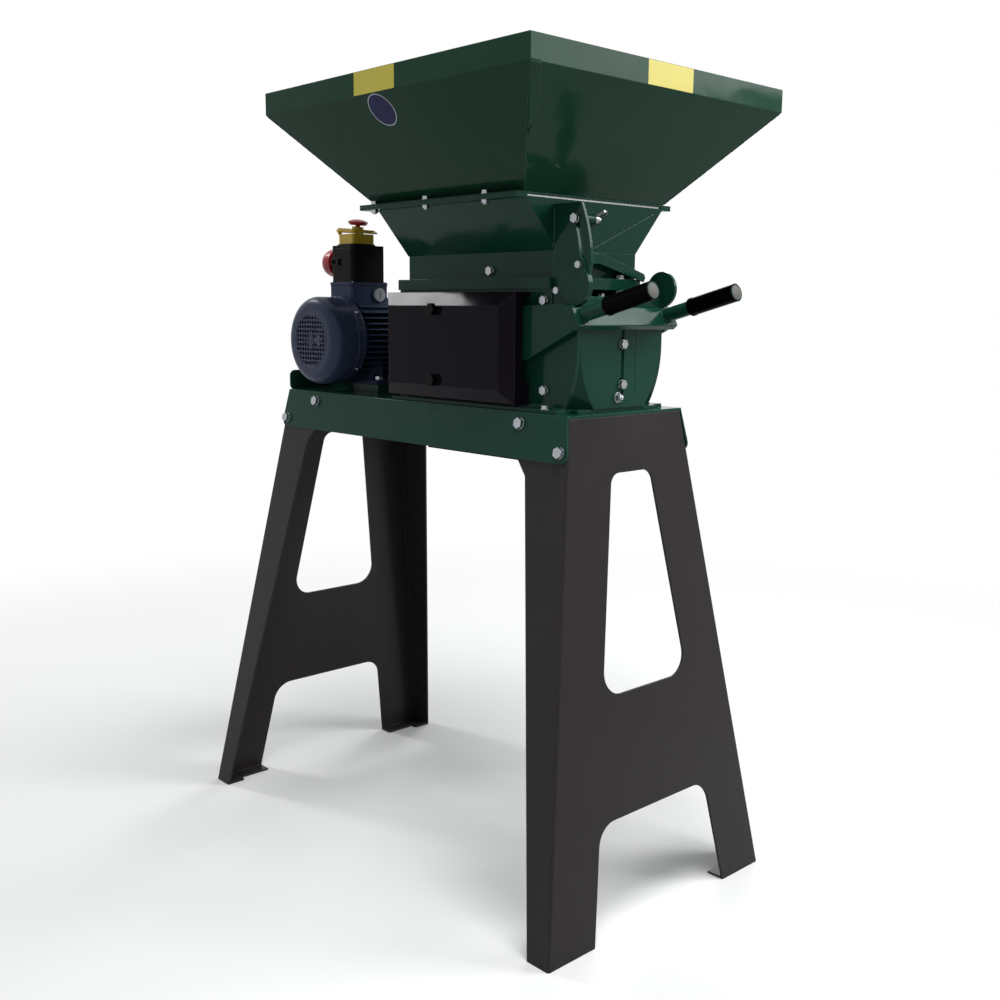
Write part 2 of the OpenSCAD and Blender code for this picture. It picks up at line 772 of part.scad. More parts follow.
// Switch unit
module terminal_box() {
    color(motor_blue) difference() {
        union() {
            translate([tbox_x, tbox_y, tbox_z]) linear_extrude(tbox_h) round_rect(tbox_w, tbox_d, 6);
            translate([tbox_x + tbox_w / 2 - 4, tbox_y + 20, tbox_z + 20]) rotate([0, 90, 0])
                cylinder(d = plug_d + 6, h = 6);
        }
        translate([tbox_x, tbox_y, tbox_z + 3]) linear_extrude(tbox_h - 6) round_rect(tbox_w - 8, tbox_d - 8, 4);
        translate([tbox_x + tbox_w / 2 - 10, tbox_y + 20, tbox_z + 20]) rotate([0, 90, 0])
            cylinder(d = plug_d - 8, h = 20);
    }
}

module terminal_plug() {
    color(black) translate([tbox_x + tbox_w / 2 + 2, tbox_y + 20, tbox_z + 20]) rotate([0, 90, 0]) difference() {
        union() {
            cylinder(d = plug_d, h = 5);
            translate([0, 0, -10]) cylinder(d = plug_d - 8, h = 12);
        }
        translate([-plug_d / 4, -1.2, 3.5]) cube([plug_d / 2, 2.4, 4]);
    }
}

module switch_box() {
    left = sbox_x - sbox_w / 2;
    front = sbox_y - sbox_d / 2;
    corner = 10;
    color(black) {
        difference() {
            translate([sbox_x, sbox_y, sbox_z]) linear_extrude(sbox_h) difference() {
                round_rect(sbox_w, sbox_d, 4);
                translate([sbox_w / 2, -sbox_d / 2]) rotate(45) square(corner, center = true);
            }
            box([left + corner, front - eps, sbox_z + sbox_h - 6], [left + sbox_w - corner, front + 1.2, sbox_z + sbox_h + eps]);
        }
        translate([left + sbox_w - corner / 2 - 0.6, front + corner / 2 + 0.6, sbox_z]) cylinder(d = 8, h = sbox_h - 3);
        translate([stop_x, stop_y, stop_z - stop_base_h]) linear_extrude(stop_base_h)
            round_rect(stop_w + 4, stop_d + 4, 5);
        translate([left - inlet_len, inlet_y, inlet_z]) rotate([0, 90, 0])
            cylinder(d = inlet_cap_d - 8, h = inlet_len + 1);
        translate([left - inlet_len - 3, inlet_y, inlet_z]) rotate([0, 90, 0]) difference() {
            cylinder(d = inlet_cap_d - 14, h = 4);
            translate([0, 0, -1]) cylinder(d = inlet_cap_d - 20, h = 4);
        }
        for (s = [-1, 1]) box([left - inlet_len - 7, s > 0 ? inlet_y + 5 : inlet_y - 9, inlet_z + inlet_cap_d / 2 + 0.8],
            [left + 1, s > 0 ? inlet_y + 9 : inlet_y - 5, inlet_z + inlet_cap_d / 2 + 6.5]);
        translate([left - inlet_len - 4.5, inlet_y + 6, inlet_z + inlet_cap_d / 2 + 4]) rotate([90, 0, 0])
            cylinder(d = 3, h = 12);
        difference() {
            box([left + 1, front - 4, inlet_z - 6.5], [left + 27, front + 1, inlet_z + 6.5]);
            box([left + 5, front - 5, inlet_z - 3.5], [left + 23, front, inlet_z + 3.5]);
        }
    }
}

module inlet_cap() {
    left = sbox_x - sbox_w / 2;
    pin = [left - inlet_len - 4.5, inlet_z + inlet_cap_d / 2 + 4];
    r = inlet_cap_d / 2;
    rise = inlet_cap_t - 6;
    dome_r = (pow(r, 2) + pow(rise, 2)) / (2 * rise);
    color(red) difference() {
        union() {
            translate([left - inlet_len - 3.5, inlet_y, inlet_z]) rotate([0, -90, 0]) rotate_extrude() intersection() {
                translate([0, inlet_cap_t - dome_r]) circle(dome_r);
                square([r, inlet_cap_t]);
            }
            along_y(inlet_y - 4.7, inlet_y + 4.7) link(pin, 4, pin - [5, 14], 5);
        }
        rod_y(pin[0], pin[1], 3 + 2 * run_fit, inlet_y - 6, inlet_y + 6);
        box([left - inlet_len - 3, inlet_y - 6, inlet_z], [left, inlet_y + 6, pin[1] - 4.2]);
    }
}

module stop_housing() {
    top = stop_z + stop_h;
    color(yellow) difference() {
        union() {
            translate([stop_x, stop_y, stop_z]) linear_extrude(stop_h) round_rect(stop_w, stop_d, 5);
            for (s = [-1, 1]) translate([lid_hinge_x, stop_y + s * (stop_d / 2 - 5), lid_hinge_z])
                rotate([90, 0, 0]) translate([0, 0, -3]) linear_extrude(6) {
                    circle(3.6);
                    polygon([[-3.6, 0], [3.6, 0], [8, -8], [8, -14]]);
                }
        }
        for (k = [-1, 1]) translate([stop_x + k * 12, stop_y, stop_z + 6])
            cylinder(d = key_d + 2 * run_fit, h = stop_h);
    }
    color(zinc) rod_y(lid_hinge_x, lid_hinge_z, 3, stop_y - stop_d / 2 + 3, stop_y + stop_d / 2 - 3);
}

module key(x, tint) {
    color(tint) translate([x, stop_y, stop_z + 6 + key_travel + 0.5])
        cylinder(d = key_d, h = stop_h - 6 - key_travel + 1);
}

module start_key() key(stop_x + 12, [0.1, 0.5, 0.2]);
module stop_key() key(stop_x - 12, red);

// Turns the lid and its mushroom about the hinge, so that the lid lies a little lower at its free end
module on_lid() translate([lid_hinge_x, 0, lid_hinge_z]) rotate([0, lid_tilt, 0]) translate([-lid_hinge_x, 0, -lid_hinge_z])
    children();

module stop_lid() on_lid() {
    low = lid_low;
    half = stop_d / 2 - 9;
    color(yellow) difference() {
        union() {
            translate([stop_x - 1, stop_y, low]) linear_extrude(lid_top - low) round_rect(stop_w + 4, stop_d + 1, 6);
            along_y(stop_y + half, stop_y + stop_d / 2 + 4) polygon([
                [stop_x + stop_w / 2 - 8, low], [stop_x + stop_w / 2 + 4, low],
                [stop_x + stop_w / 2 + 4, low + 3], [stop_x + stop_w / 2 - 8, lid_top]
            ]);
            rod_y(lid_hinge_x, lid_hinge_z, 7, stop_y - half, stop_y + half);
            along_y(stop_y - half, stop_y + half)
                strip([[lid_hinge_x, lid_hinge_z + 1], [lid_hinge_x + 6, lid_hinge_z + 4]], 4);
            translate([mushroom_at[0], mushroom_at[1], lid_top - 1]) cylinder(r = 12, h = 1 + collar_h);
        }
        translate([stop_x - 1, stop_y, low - eps]) linear_extrude(5 + eps) round_rect(stop_w - 4, stop_d - 8, 4);
        translate([mushroom_at[0], mushroom_at[1], low - 5]) cylinder(d = 10 + 2 * run_fit, h = 30);
        rod_y(lid_hinge_x, lid_hinge_z, 3 + 2 * run_fit, stop_y - half - eps, stop_y + half + eps);
        for (s = [-1, 1]) translate([lid_hinge_x - 6, stop_y + s * (stop_d / 2 - 5) - 3.4, low - 8])
            cube([12.2, 6.8, 24]);
    }
}

module mushroom() on_lid() {
    base = lid_top + collar_h + key_travel + 0.5;
    color(red) translate([mushroom_at[0], mushroom_at[1], 0]) {
        translate([0, 0, base]) cylinder(d1 = mushroom_d - 8, d2 = mushroom_d, h = 4);
        translate([0, 0, base + 4]) rotate_extrude() intersection() {
            translate([0, 3 - mushroom_d]) circle(mushroom_d + mushroom_h - 7);
            union() {
                square([mushroom_d / 2 - 3, mushroom_h - 4]);
                square([mushroom_d / 2, mushroom_h - 7]);
                translate([mushroom_d / 2 - 3, mushroom_h - 7]) circle(3);
            }
        }
        translate([0, 0, lid_low + 5]) cylinder(d = 10, h = base - lid_low - 4);
    }
}

// Mill housing
module side_outline() {
    polygon([[house_left, base_h], [moving_x, base_h], [moving_x, house_top], [house_left, house_top]]);
    intersection() {
        translate([moving_x, axis_z]) circle(cheek_r);
        translate([moving_x - eps, base_h]) square([cheek_r + 2 * eps, roller_z]);
    }
    polygon([[moving_x - eps, axis_z - eps], [house_right, axis_z - eps], [house_right, cheek_top],
        [neck_right, cheek_top], [neck_right, house_top], [moving_x - eps, house_top]]);
}

module side_plate() {
    color(green) difference() {
        union() {
            along_y(-side_out, -side_y) side_outline();
            box([house_left + 5, -side_out - foot_flange_w + 8, base_h],
                [neck_right + 41, -side_y, base_h + flange_t]);
        }
        rod_y(fixed_x, axis_z, shaft_d + 6, -side_out - eps, -side_y + eps);
        box([moving_x - block_w / 2 - 0.5, -side_out - eps, axis_z - block_h / 2 - run_fit],
            [moving_x + block_w / 2 + roller_open + 0.5, -side_y + eps, axis_z + block_h / 2 + run_fit]);
        at_housing_feet(foot_bolt_at[0]) bolt_hole(foot_bolt_d, 20);
        at_housing_feet(foot_bolt_at[1]) bolt_hole(foot_bolt_d, 20);
        for (p = plate_bolt_at) translate([p[0], -side_out, base_h + p[1]]) rotate([90, 0, 0])
            bolt_hole(foot_bolt_d, 30);
    }
}

module side_plate_front() {
    side_plate();
    for (z = [knob_at[1], knob_low])
        color(zinc) rod_y(knob_at[0], z, 8, -side_out - guard_d - 7, -side_out);
}

module side_plate_rear() mirror([0, 1, 0]) side_plate();

// Edge of the cheek at height z, and how far the bevelled flank reaches in there
function cheek_x(z) = z > axis_z ? house_right : moving_x + sqrt(pow(cheek_r, 2) - pow(axis_z - z, 2));
function flank_y(z) = flank_w * (house_right - cheek_x(z)) / (house_right - cheek_x(base_h + 15));

module flank() {
    rows = 8;
    z0 = base_h + flange_t;
    z1 = axis_z - 4;
    heights = [for (i = [0 : rows]) z0 + (z1 - z0) * i / rows];
    outer = [for (z = heights) [cheek_x(z) - 0.2, -side_y + 0.1, z]];
    inner = [for (z = heights) [house_right - 0.2, -side_y + 0.1 + flank_y(z) + 0.3, z]];
    back_outer = [for (p = outer) p - [3.5, 0, 0]];
    back_inner = [for (p = inner) p - [3.5, 0, 0]];
    n = rows + 1;
    points = concat(outer, inner, back_outer, back_inner);
    quads = concat(
        [for (i = [0 : rows - 1]) [i, n + i, n + i + 1, i + 1]],
        [for (i = [0 : rows - 1]) [2 * n + i + 1, 3 * n + i + 1, 3 * n + i, 2 * n + i]],
        [for (i = [0 : rows - 1]) [i + 1, 2 * n + i + 1, 2 * n + i, i]],
        [for (i = [0 : rows - 1]) [n + i, 3 * n + i, 3 * n + i + 1, n + i + 1]],
        [[0, 2 * n, 3 * n, n], [n + rows, 3 * n + rows, 2 * n + rows, rows]]
    );
    polyhedron(points, [for (q = quads) [q[3], q[2], q[1], q[0]]]);
}

module housing_end() {
    rows = 12;
    z0 = base_h + flange_t;
    heights = [for (i = [0 : rows]) z0 + (axis_z - z0) * i / rows];
    edge = side_y - 0.1;
    color(green) {
        difference() {
            translate([house_right - panel_t, 0, 0]) rotate([90, 0, 90]) linear_extrude(panel_t) polygon(concat(
                [for (z = heights) [-edge + flank_y(z), z]], [[-edge, end_top], [edge, end_top]],
                [for (i = [rows : -1 : 0]) [edge - flank_y(heights[i]), heights[i]]]
            ));
            translate([house_right - panel_t - eps, 0, base_h]) rotate([90, 0, 90]) linear_extrude(panel_t + 2 * eps) {
                translate([-end_slot_w / 2 + 3.5, 26]) square([end_slot_w, 108]);
                for (z = [26, 134]) translate([3.5, z]) circle(d = end_slot_w);
            }
        }
        for (rear = [0, 1]) mirror([0, rear, 0]) flank();
        box([house_right - 60, -edge, base_h], [cheek_x(base_h + 8) + 22, edge, base_h + flange_t]);
        box([house_right - 0.5, 40, base_h + 30], [house_right + 0.8, 41.2, end_top]);
        box([house_right - panel_t - 4, -14, base_h + 16], [house_right - panel_t, 20, base_h + 36]);
        box([house_right - panel_t - 4, -14, base_h + 56], [house_right - panel_t, 20, base_h + 104]);
        box([house_right - panel_t - 4, -14, base_h + 124], [house_right - panel_t, 20, base_h + 150]);
    }
}

module housing_left_wall() {
    color(green) box([house_left, -side_y, base_h], [house_left + 3, side_y, house_top]);
}

module housing_top() {
    inner = side_y - 0.1;
    color(green) difference() {
        union() {
            box([neck_right + 5, -inner, end_top], [house_right, inner, end_top + 3]);
            for (s = [-1, 1]) box([neck_right + 5, s > 0 ? inner - 2 : -inner, end_top - 18],
                [house_right - panel_t, s > 0 ? inner : 2 - inner, end_top]);
        }
        translate([neck_right + 21, -12, end_top + 3]) bolt_hole(6, 8);
    }
}

module housing_bolts() {
    color(zinc) {
        at_housing_feet(foot_bolt_at[0]) bolt(foot_bolt_d, flange_t + base_t);
        at_housing_feet(foot_bolt_at[1]) translate([0, 0, -flange_t - base_t]) rotate([180, 0, 0]) {
            bolt(foot_bolt_d, 0, false);
            translate([0, 0, -flange_t - base_t]) cylinder(d = foot_bolt_d, h = flange_t + base_t);
        }
        for (rear = [0, 1], p = plate_bolt_at) mirror([0, rear, 0])
            translate([p[0], -side_out, base_h + p[1]]) rotate([90, 0, 0]) bolt(foot_bolt_d, side_t);
        translate([neck_right + 21, -12, end_top + 3]) bolt(6, 3);
        translate([rail_bolt_at[0], rail_bolt_at[1], neck_rail_top]) bolt(foot_bolt_d, neck_rail_h);
        translate([pin_bolt_at[0], -side_y - quad_t - 4, pin_bolt_at[1]]) rotate([90, 0, 0]) bolt(pin_d, 0, false);
        translate([neck_bolt_at[0], -side_y - quad_t, neck_bolt_at[1]]) rotate([90, 0, 0]) bolt(pin_d, 0, false);
    }
}

module end_bolts() {
    color(zinc) {
        for (z = [46, 114]) translate([house_right, 3.5, base_h + z]) rotate([0, 90, 0]) bolt(8, panel_t);
        translate([house_right, -6, base_h + 24]) rotate([0, 90, 0]) {
            cylinder(d = 18, h = 1.6);
            translate([0, 0, 1.6]) cylinder(d = 15, h = 6, $fn = 6);
            translate([0, 0, 7.6]) sphere(d = 11);
        }
    }
}

// Rollers
module roller(x, back) {
    y = roller_len / 2;
    color(steel) {
        rod_y(x, axis_z, roller_d, -y, y);
        rod_y(x, axis_z, shaft_d, -gear_y - gear_w - 2, back);
    }
}

module roller_fixed() roller(fixed_x, belt_mid + pulley_w / 2 + 2);
module roller_moving() roller(moving_x, bearing_end - 1);

module gear(x, phase) {
    pitch_r = module_size * gear_teeth / 2;
    step = 360 / gear_teeth;
    tip = [1.35 / pitch_r * 57.3, pitch_r + 0.85 * module_size];
    foot = [4.1 / pitch_r * 57.3, pitch_r - 1.2 * module_size];
    color(steel) difference() {
        translate([x, 0, axis_z]) along_y(-gear_y - gear_w, -gear_y) rotate(phase) polygon([
            for (i = [0 : gear_teeth - 1], p = [[-foot[0], foot[1]], [-tip[0], tip[1]], tip, foot])
                p[1] * [cos(i * step + p[0]), sin(i * step + p[0])]
        ]);
        rod_y(x, axis_z, shaft_d, -gear_y - gear_w - eps, -gear_y + eps);
    }
}

module gear_fixed() gear(fixed_x, 0);
module gear_moving() gear(moving_x, 180 / gear_teeth);

module bearings_fixed() {
    color(steel) for (rear = [0, 1]) mirror([0, rear, 0]) difference() {
        union() {
            translate([fixed_x, 0, axis_z]) along_y(-side_out - 11, -side_out) round_rect(88, 88, 14);
            rod_y(fixed_x, axis_z, 66, -bearing_end, -side_out);
        }
        rod_y(fixed_x, axis_z, shaft_d + 2 * run_fit, -bearing_end - eps, -side_out + eps);
    }
}

module block() {
    half = block_w / 2;
    lip = 7;
    color(steel) difference() {
        union() {
            box([moving_x - half, -side_out - 0.1, axis_z - block_h / 2],
                [moving_x + half, -side_y + 0.1, axis_z + block_h / 2]);
            box([moving_x - half - lip, -side_out - 4, axis_z - block_h / 2 - lip],
                [moving_x + half + lip, -side_out - 0.1, axis_z + block_h / 2 + lip]);
            box([moving_x - half - lip, -side_y + 0.1, axis_z - block_h / 2 - lip],
                [moving_x + half + lip, -side_y + 2.6, axis_z + block_h / 2 + lip]);
            rod_y(moving_x, axis_z, boss_d, -bearing_end, -side_out);
        }
        rod_y(moving_x, axis_z, shaft_d + 2 * run_fit, -bearing_end - eps, -side_y + 5);
    }
}

module block_front() block();
module block_rear() mirror([0, 1, 0]) block();

module scrapers() {
    color(steel) {
        for (s = [-1, 1]) {
            x = s < 0 ? fixed_x : moving_x;
            along_y(-side_y, side_y)
                strip([[x + s * 46, axis_z - 62], [x + s * 66, axis_z - 82], [x + s * 66, axis_z - 94]], 5);
        }
    }
}

// Gear guard
module guard_shell(inset, back) {
    y0 = -side_out - guard_d + inset;
    y1 = -side_out - guard_d + guard_bevel + inset;
    w = guard_w - 2 * inset;
    h = guard_h - 2 * inset;
    translate([guard_left + guard_w / 2, 0, base_h + 10 + guard_h / 2]) {
        along_y(y1, back) square([w, h], center = true);
        hull() {
            along_y(y0, y0 + 0.01) square([w - 2 * guard_inset, h - 2 * guard_inset], center = true);
            along_y(y1 - 0.01, y1 + 0.01) square([w, h], center = true);
        }
    }
}

module gear_guard() {
    right = guard_left + guard_w;
    color(black) difference() {
        guard_shell(0, -side_out);
        guard_shell(guard_t, -side_out + eps);
        box([right - guard_t - eps, -side_out - 18, axis_z - 60], [right + eps, -side_out + eps, axis_z + 84]);
        for (z = [knob_at[1], knob_low]) rod_y(knob_at[0], z, 9, -side_out - guard_d - eps, -side_out);
    }
}

module knob(z) {
    front = -side_out - guard_d;
    color(black) difference() {
        union() {
            rod_y(knob_at[0], z, knob_d, front - 11, front - 2);
            rod_y(knob_at[0], z, knob_d - 7, front - 2, front - 0.1);
            for (a = [0 : 60 : 300]) rod_y(knob_at[0] + cos(a) * knob_d / 2, z + sin(a) * knob_d / 2, 4,
                front - 10, front - 3);
        }
        rod_y(knob_at[0], z, 8 + 2 * run_fit, front - 7.5, front + eps);
    }
}

module knob_upper() knob(knob_at[1]);
module knob_lower() knob(knob_low);

// Lever yoke
module on_lever() translate([moving_x, 0, axis_z]) children();

module lever_arm() {
    along_y(-arm_gap / 2 - arm_t, -arm_gap / 2) difference() {
        union() {
            circle(hub_r);
            polygon([[-12, 42], [60, 64], [112, 69], [180, 72.5], [215, 70], [218, 62], [228, 38], [220.5, 31],
                [112, -21], [24, -37]]);
        }
        circle(d = boss_d + 2 * run_fit);
    }
}

module lever_yoke() {
    root = [tube_root[0] - moving_x, tube_root[1] - axis_z];
    color(green) on_lever() {
        for (rear = [0, 1]) mirror([0, rear, 0]) {
            lever_arm();
            translate([root[0], -tube_gap / 2, root[1]]) rotate([0, 90 - tube_slope, 0])
                cylinder(d = tube_d, h = tube_len);
            box([root[0] - 2, -cross_w / 2 + 1, 33], [root[0] + 8, -arm_gap / 2 + 8, root[1]]);
        }
        along_y(-cross_w / 2, cross_w / 2) strip([[217, 65.5], [231, 38], [224, 32]], cross_t);
    }
}

module grip(side) {
    start = tube_len - grip_len;
    color(black) translate([tube_root[0], side * tube_gap / 2, tube_root[1]]) rotate([0, 90 - tube_slope, 0])
        translate([0, 0, start]) difference() {
            union() {
                cylinder(d = grip_d, h = grip_len - 0.5);
                cylinder(d = grip_d + 1.6, h = 4);
            }
            translate([0, 0, -eps]) cylinder(d = tube_d, h = grip_len + 2 * eps);
        }
}

module grip_front() grip(-1);
module grip_rear() grip(1);

// Feed
module feed_rail() {
    out = side_y + 15;
    color(green) difference() {
        box([neck_left - 15, -out, house_top], [neck_right, out, neck_rail_top]);
        box([neck_left + 6, -side_y + rail_wall, house_top - eps], [neck_right - 6, side_y - rail_wall, neck_rail_top + eps]);
    }
    color(green) difference() {
        box([neck_right, 5 - side_y, house_top], [neck_right + 14, side_y - 1, neck_rail_top]);
        translate([rail_bolt_at[0], rail_bolt_at[1], neck_rail_top]) bolt_hole(foot_bolt_d, 30);
    }
}

module feed_shaft_hole() {
    rod_y(flap_x, flap_z, flap_shaft_d + 2 * run_fit, -side_y - 20, side_y + 20);
}

// Slit in the right end wall for the arm of the feed flap
module arm_slit() box([neck_right - 10, 3 - side_y, flap_z - 8], [neck_right + 5, 10 - side_y, funnel_top - 30]);

module feed_neck() {
    t = neck_t;
    color(green) difference() {
        union() {
            difference() {
                box([neck_left, -side_y, neck_rail_top], [neck_right, side_y, neck_top]);
                box([neck_left + t, t - side_y, neck_rail_top - eps], [neck_right - t, side_y - t, neck_top + eps]);
            }
            translate([neck_right, 0, 0]) rotate([90, 0, 90]) linear_extrude(3)
                strip([[-29, neck_rail_top + 38], [-10, neck_rail_top + 38], [100, neck_rail_top + 7]], 4);
            translate([neck_right, 0, 0]) rotate([90, 0, 90]) linear_extrude(18)
                strip([[-29, neck_rail_top + 40], [-8, neck_rail_top + 40], [103, neck_rail_top + 9]], 3);
            translate([neck_right + 15, 0, neck_rail_top]) rotate([90, 0, 90]) linear_extrude(3.2)
                polygon([[-31, 41], [-8, 41], [104, 10], [108, 4], [104, -4], [-10, 24], [-34, 24], [-34, 37]]);
        }
        feed_shaft_hole();
        arm_slit();
    }
}

module funnel_section(inset) {
    polygon([
        [-side_y + inset, neck_top - (inset > 0 ? eps : 0)], [side_y - inset, neck_top - (inset > 0 ? eps : 0)],
        [funnel_d / 2 - inset, funnel_top], [funnel_d / 2 - inset, funnel_top + (inset > 0 ? eps : 0)],
        [-funnel_d / 2 + inset, funnel_top + (inset > 0 ? eps : 0)], [-funnel_d / 2 + inset, funnel_top]
    ]);
}

module feed_funnel() {
    t = neck_t;
    strip_d = (collar_d - gate_w) / 2;
    color(green) {
        difference() {
            union() {
                translate([neck_left - 3, 0, 0]) rotate([90, 0, 90]) linear_extrude(neck_len + 3) funnel_section(0);
                box([collar_left, -collar_d / 2, funnel_top - t], [neck_right, collar_d / 2, funnel_top]);
            }
            translate([neck_left - 3 + t, 0, 0]) rotate([90, 0, 90]) linear_extrude(neck_len + 3 - 2 * t)
                funnel_section(t);
            arm_slit();
            at_flange_bolts() bolt_hole(flange_bolt_d, 20);
        }
        difference() {
            for (s = [-1, 1]) box([collar_left, s > 0 ? collar_d / 2 - strip_d : -collar_d / 2, funnel_top],
                [neck_right, s > 0 ? collar_d / 2 : strip_d - collar_d / 2, collar_z]);
            at_flange_bolts() bolt_hole(flange_bolt_d, 20);
        }
    }
}

module feed_chute() {
    color(steel) {
        along_y(-chute_y, chute_y) strip([[neck_left + neck_t + 1, neck_top - 4], [fixed_x + 46, house_top - 10]], 2);
        along_y(12 - side_y, chute_y)
            strip([[neck_right - neck_t - 1, neck_top - 4], [flap_x + 18, flap_z - 1]], 2);
    }
}

function around(a, r) = [flap_x + r * cos(a), flap_z + r * sin(a)];

module quadrant_outline() {
    outer = clamp_r + 20;
    top = asin((funnel_top - 9 - flap_z) / outer);
    polygon(concat(
        [[neck_right, funnel_top - 9]],
        [for (i = [0 : 12]) around(top - (top - 2) * i / 12, outer)],
        [[lobe_at[0] + lobe_r - 6, lobe_at[1] + 8], [lobe_at[0], lobe_at[1] - lobe_r + 2],
            [neck_right, lobe_at[1] - lobe_r + 2]]
    ));
    translate(lobe_at) circle(lobe_r);
}

module clamp_slot() {
    w = clamp_d + 1;
    low = clamp_angle - flap_travel - 3;
    for (i = [0 : 11]) {
        a = clamp_angle - (clamp_angle - low) * i / 12;
        b = clamp_angle - (clamp_angle - low) * (i + 1) / 12;
        link(around(a, clamp_r), w / 2, around(b, clamp_r), w / 2 + 0.001);
    }
}

module quadrant_plate() {
    t = quad_t;
    color(green) difference() {
        union() {
            along_y(-side_y - t, -side_y) quadrant_outline();
            along_y(-side_y - t - 4, -side_y - t) {
                translate(lobe_at) circle(lobe_r);
                link(lobe_at + [0, 8], lobe_r - 9, pin_bolt_at, 11);
            }
            translate([neck_right - 0.5, -side_y - 2.6, neck_rail_top]) cylinder(d = 5, h = neck_h);
        }
        along_y(-side_y - t - eps, -side_y + eps) clamp_slot();
    }
}

module rear_lobe() {
    r = lobe_r - 2.5;
    at = lobe_at + [8, -3];
    color(green) along_y(side_y + 2, side_y + 8) {
        translate(at) circle(r);
        polygon([[neck_right, at[1] - r + 10], at - [0, r - 1], at, [neck_right, at[1] - 2]]);
    }
}

module feed_flap() {
    near = side_y - neck_t - 1;
    plate_y = chute_y - 0.5;
    tip = [fixed_x + 62, house_top - 8];
    color(steel) {
        rod_y(flap_x, flap_z, flap_shaft_d, -side_y - 1, side_y + 1);
        along_y(7 - plate_y, plate_y) strip([[flap_x, flap_z], tip], 4);
        along_y(-near, 5 - near) difference() {
            link([flap_x, flap_z], 12.5, clamp_at, 12);
            translate(clamp_at) circle(d = clamp_d);
        }
    }
    color(zinc) for (rear = [0, 1]) mirror([0, rear, 0]) translate([flap_x, -side_y - 0.5, flap_z]) rotate([90, 0, 0])
        bolt(8, 0, false);
}

module clamp_bolt() {
    d = clamp_d;
    front = -side_y - quad_t;
    arm_back = -side_y + neck_t + 6;
    color(zinc) {
        translate([clamp_at[0], front - 0.1, clamp_at[1]]) rotate([90, 0, 0]) bolt(d, 0, false);
        rod_y(clamp_at[0], clamp_at[1], d, front - 1, -side_y + 50);
    }
    color(green) difference() {
        rod_y(clamp_at[0], clamp_at[1], 15, arm_back, -side_y + 34);
        rod_y(clamp_at[0], clamp_at[1], d - 0.2, arm_back - eps, -side_y + 34 + eps);
    }
}

module wing_nut() {
    d = clamp_d;
    y = -side_y + 34.1;
    color(zinc) difference() {
        union() {
            rod_y(clamp_at[0], clamp_at[1], 17, y, y + 8);
            for (s = [-1, 1]) translate([clamp_at[0], y + 5, clamp_at[1]]) rotate([0, 55, 0]) rotate([0, 0, -90])
                rotate([90, 0, 0]) translate([0, 0, -2]) linear_extrude(4) link([0, s * 6], 5, [-7, s * 17], 6);
        }
        rod_y(clamp_at[0], clamp_at[1], d + 2 * run_fit, y - eps, y + 30);
    }
}

module slide_gate() {
    color(steel) {
        box([collar_left - gate_out, -gate_w / 2 + gate_fit, gate_z],
            [neck_right - neck_t, gate_w / 2 - gate_fit, gate_z + gate_t]);
    }
}

// Hopper
module at_flange_bolts() {
    for (s = [-1, 1], x = flange_bolt_at) translate([x, s * (collar_d / 2 - 7.2), hopper_z]) children();
}

module hopper_level(z, inset, low) {
    x0 = low ? neck_left - 4 : rim_right - rim_len;
    x1 = low ? neck_right - 1.6 : rim_right;
    d = low ? funnel_d + 2 : rim_depth;
    translate([x0 + inset, -d / 2 + inset, z]) cube([x1 - x0 - 2 * inset, d - 2 * inset, 0.01]);
}

module hopper() {
    t = hopper_t;
    rim_z = hopper_z + slope_h;
    top = rim_z + rim_h;
    color(dark_green) difference() {
        union() {
            box([collar_left, -collar_d / 2, collar_z], [neck_right, collar_d / 2, hopper_z]);
            hull() {
                hopper_level(hopper_z - 0.01, 0, true);
                hopper_level(rim_z, 0, false);
            }
            box([rim_right - rim_len, -rim_depth / 2, rim_z], [rim_right, rim_depth / 2, top]);
        }
        hull() {
            hopper_level(hopper_z - 0.01, t, true);
            hopper_level(rim_z, t, false);
        }
        box([rim_right - rim_len + t, t - rim_depth / 2, rim_z], [rim_right - t, rim_depth / 2 - t, top - t]);
        box([rim_right - rim_len + lip_w, lip_w - rim_depth / 2, rim_z], [rim_right - lip_w, rim_depth / 2 - lip_w, top + 1]);
        box([neck_left, 2 - funnel_d / 2, collar_z - 1], [neck_right - 5, funnel_d / 2 - 2, hopper_z + 0.5]);
        at_flange_bolts() bolt_hole(flange_bolt_d, 20);
    }
}

module flange_bolts() color(zinc) at_flange_bolts() bolt(flange_bolt_d, hopper_z - funnel_top + neck_t);

leg_frame_right();
leg_frame_left();
leg_bolts();
base_pan();
outlet_spout();
motor_rails();
motor_frame();
end_shields();
motor_foot_bolts();
fan_cover();
motor_rotor();
cooling_fan();
motor_pulley();
terminal_box();
terminal_plug();
switch_box();
inlet_cap();
stop_housing();
start_key();
stop_key();
stop_lid();
mushroom();
side_plate_front();
side_plate_rear();
housing_end();
housing_left_wall();
housing_top();
housing_bolts();
end_bolts();
roller_fixed();
gear_fixed();
driven_pulley();
bearings_fixed();
block_front();
block_rear();
roller_moving();
gear_moving();
gear_guard();
knob_upper();
knob_lower();
drive_belt();
belt_guard();
scrapers();
lever_yoke();
grip_front();
grip_rear();
feed_rail();
feed_neck();
feed_funnel();
feed_chute();
quadrant_plate();
rear_lobe();
feed_flap();
clamp_bolt();
wing_nut();
slide_gate();
hopper();
flange_bolts();
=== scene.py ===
"""Looks of a grain flaker: paint, plastics, bare metal, welds, screws, plain stickers, light and camera."""
import json
import math
import random

import bmesh
import bpy
from mathutils import Matrix, Vector


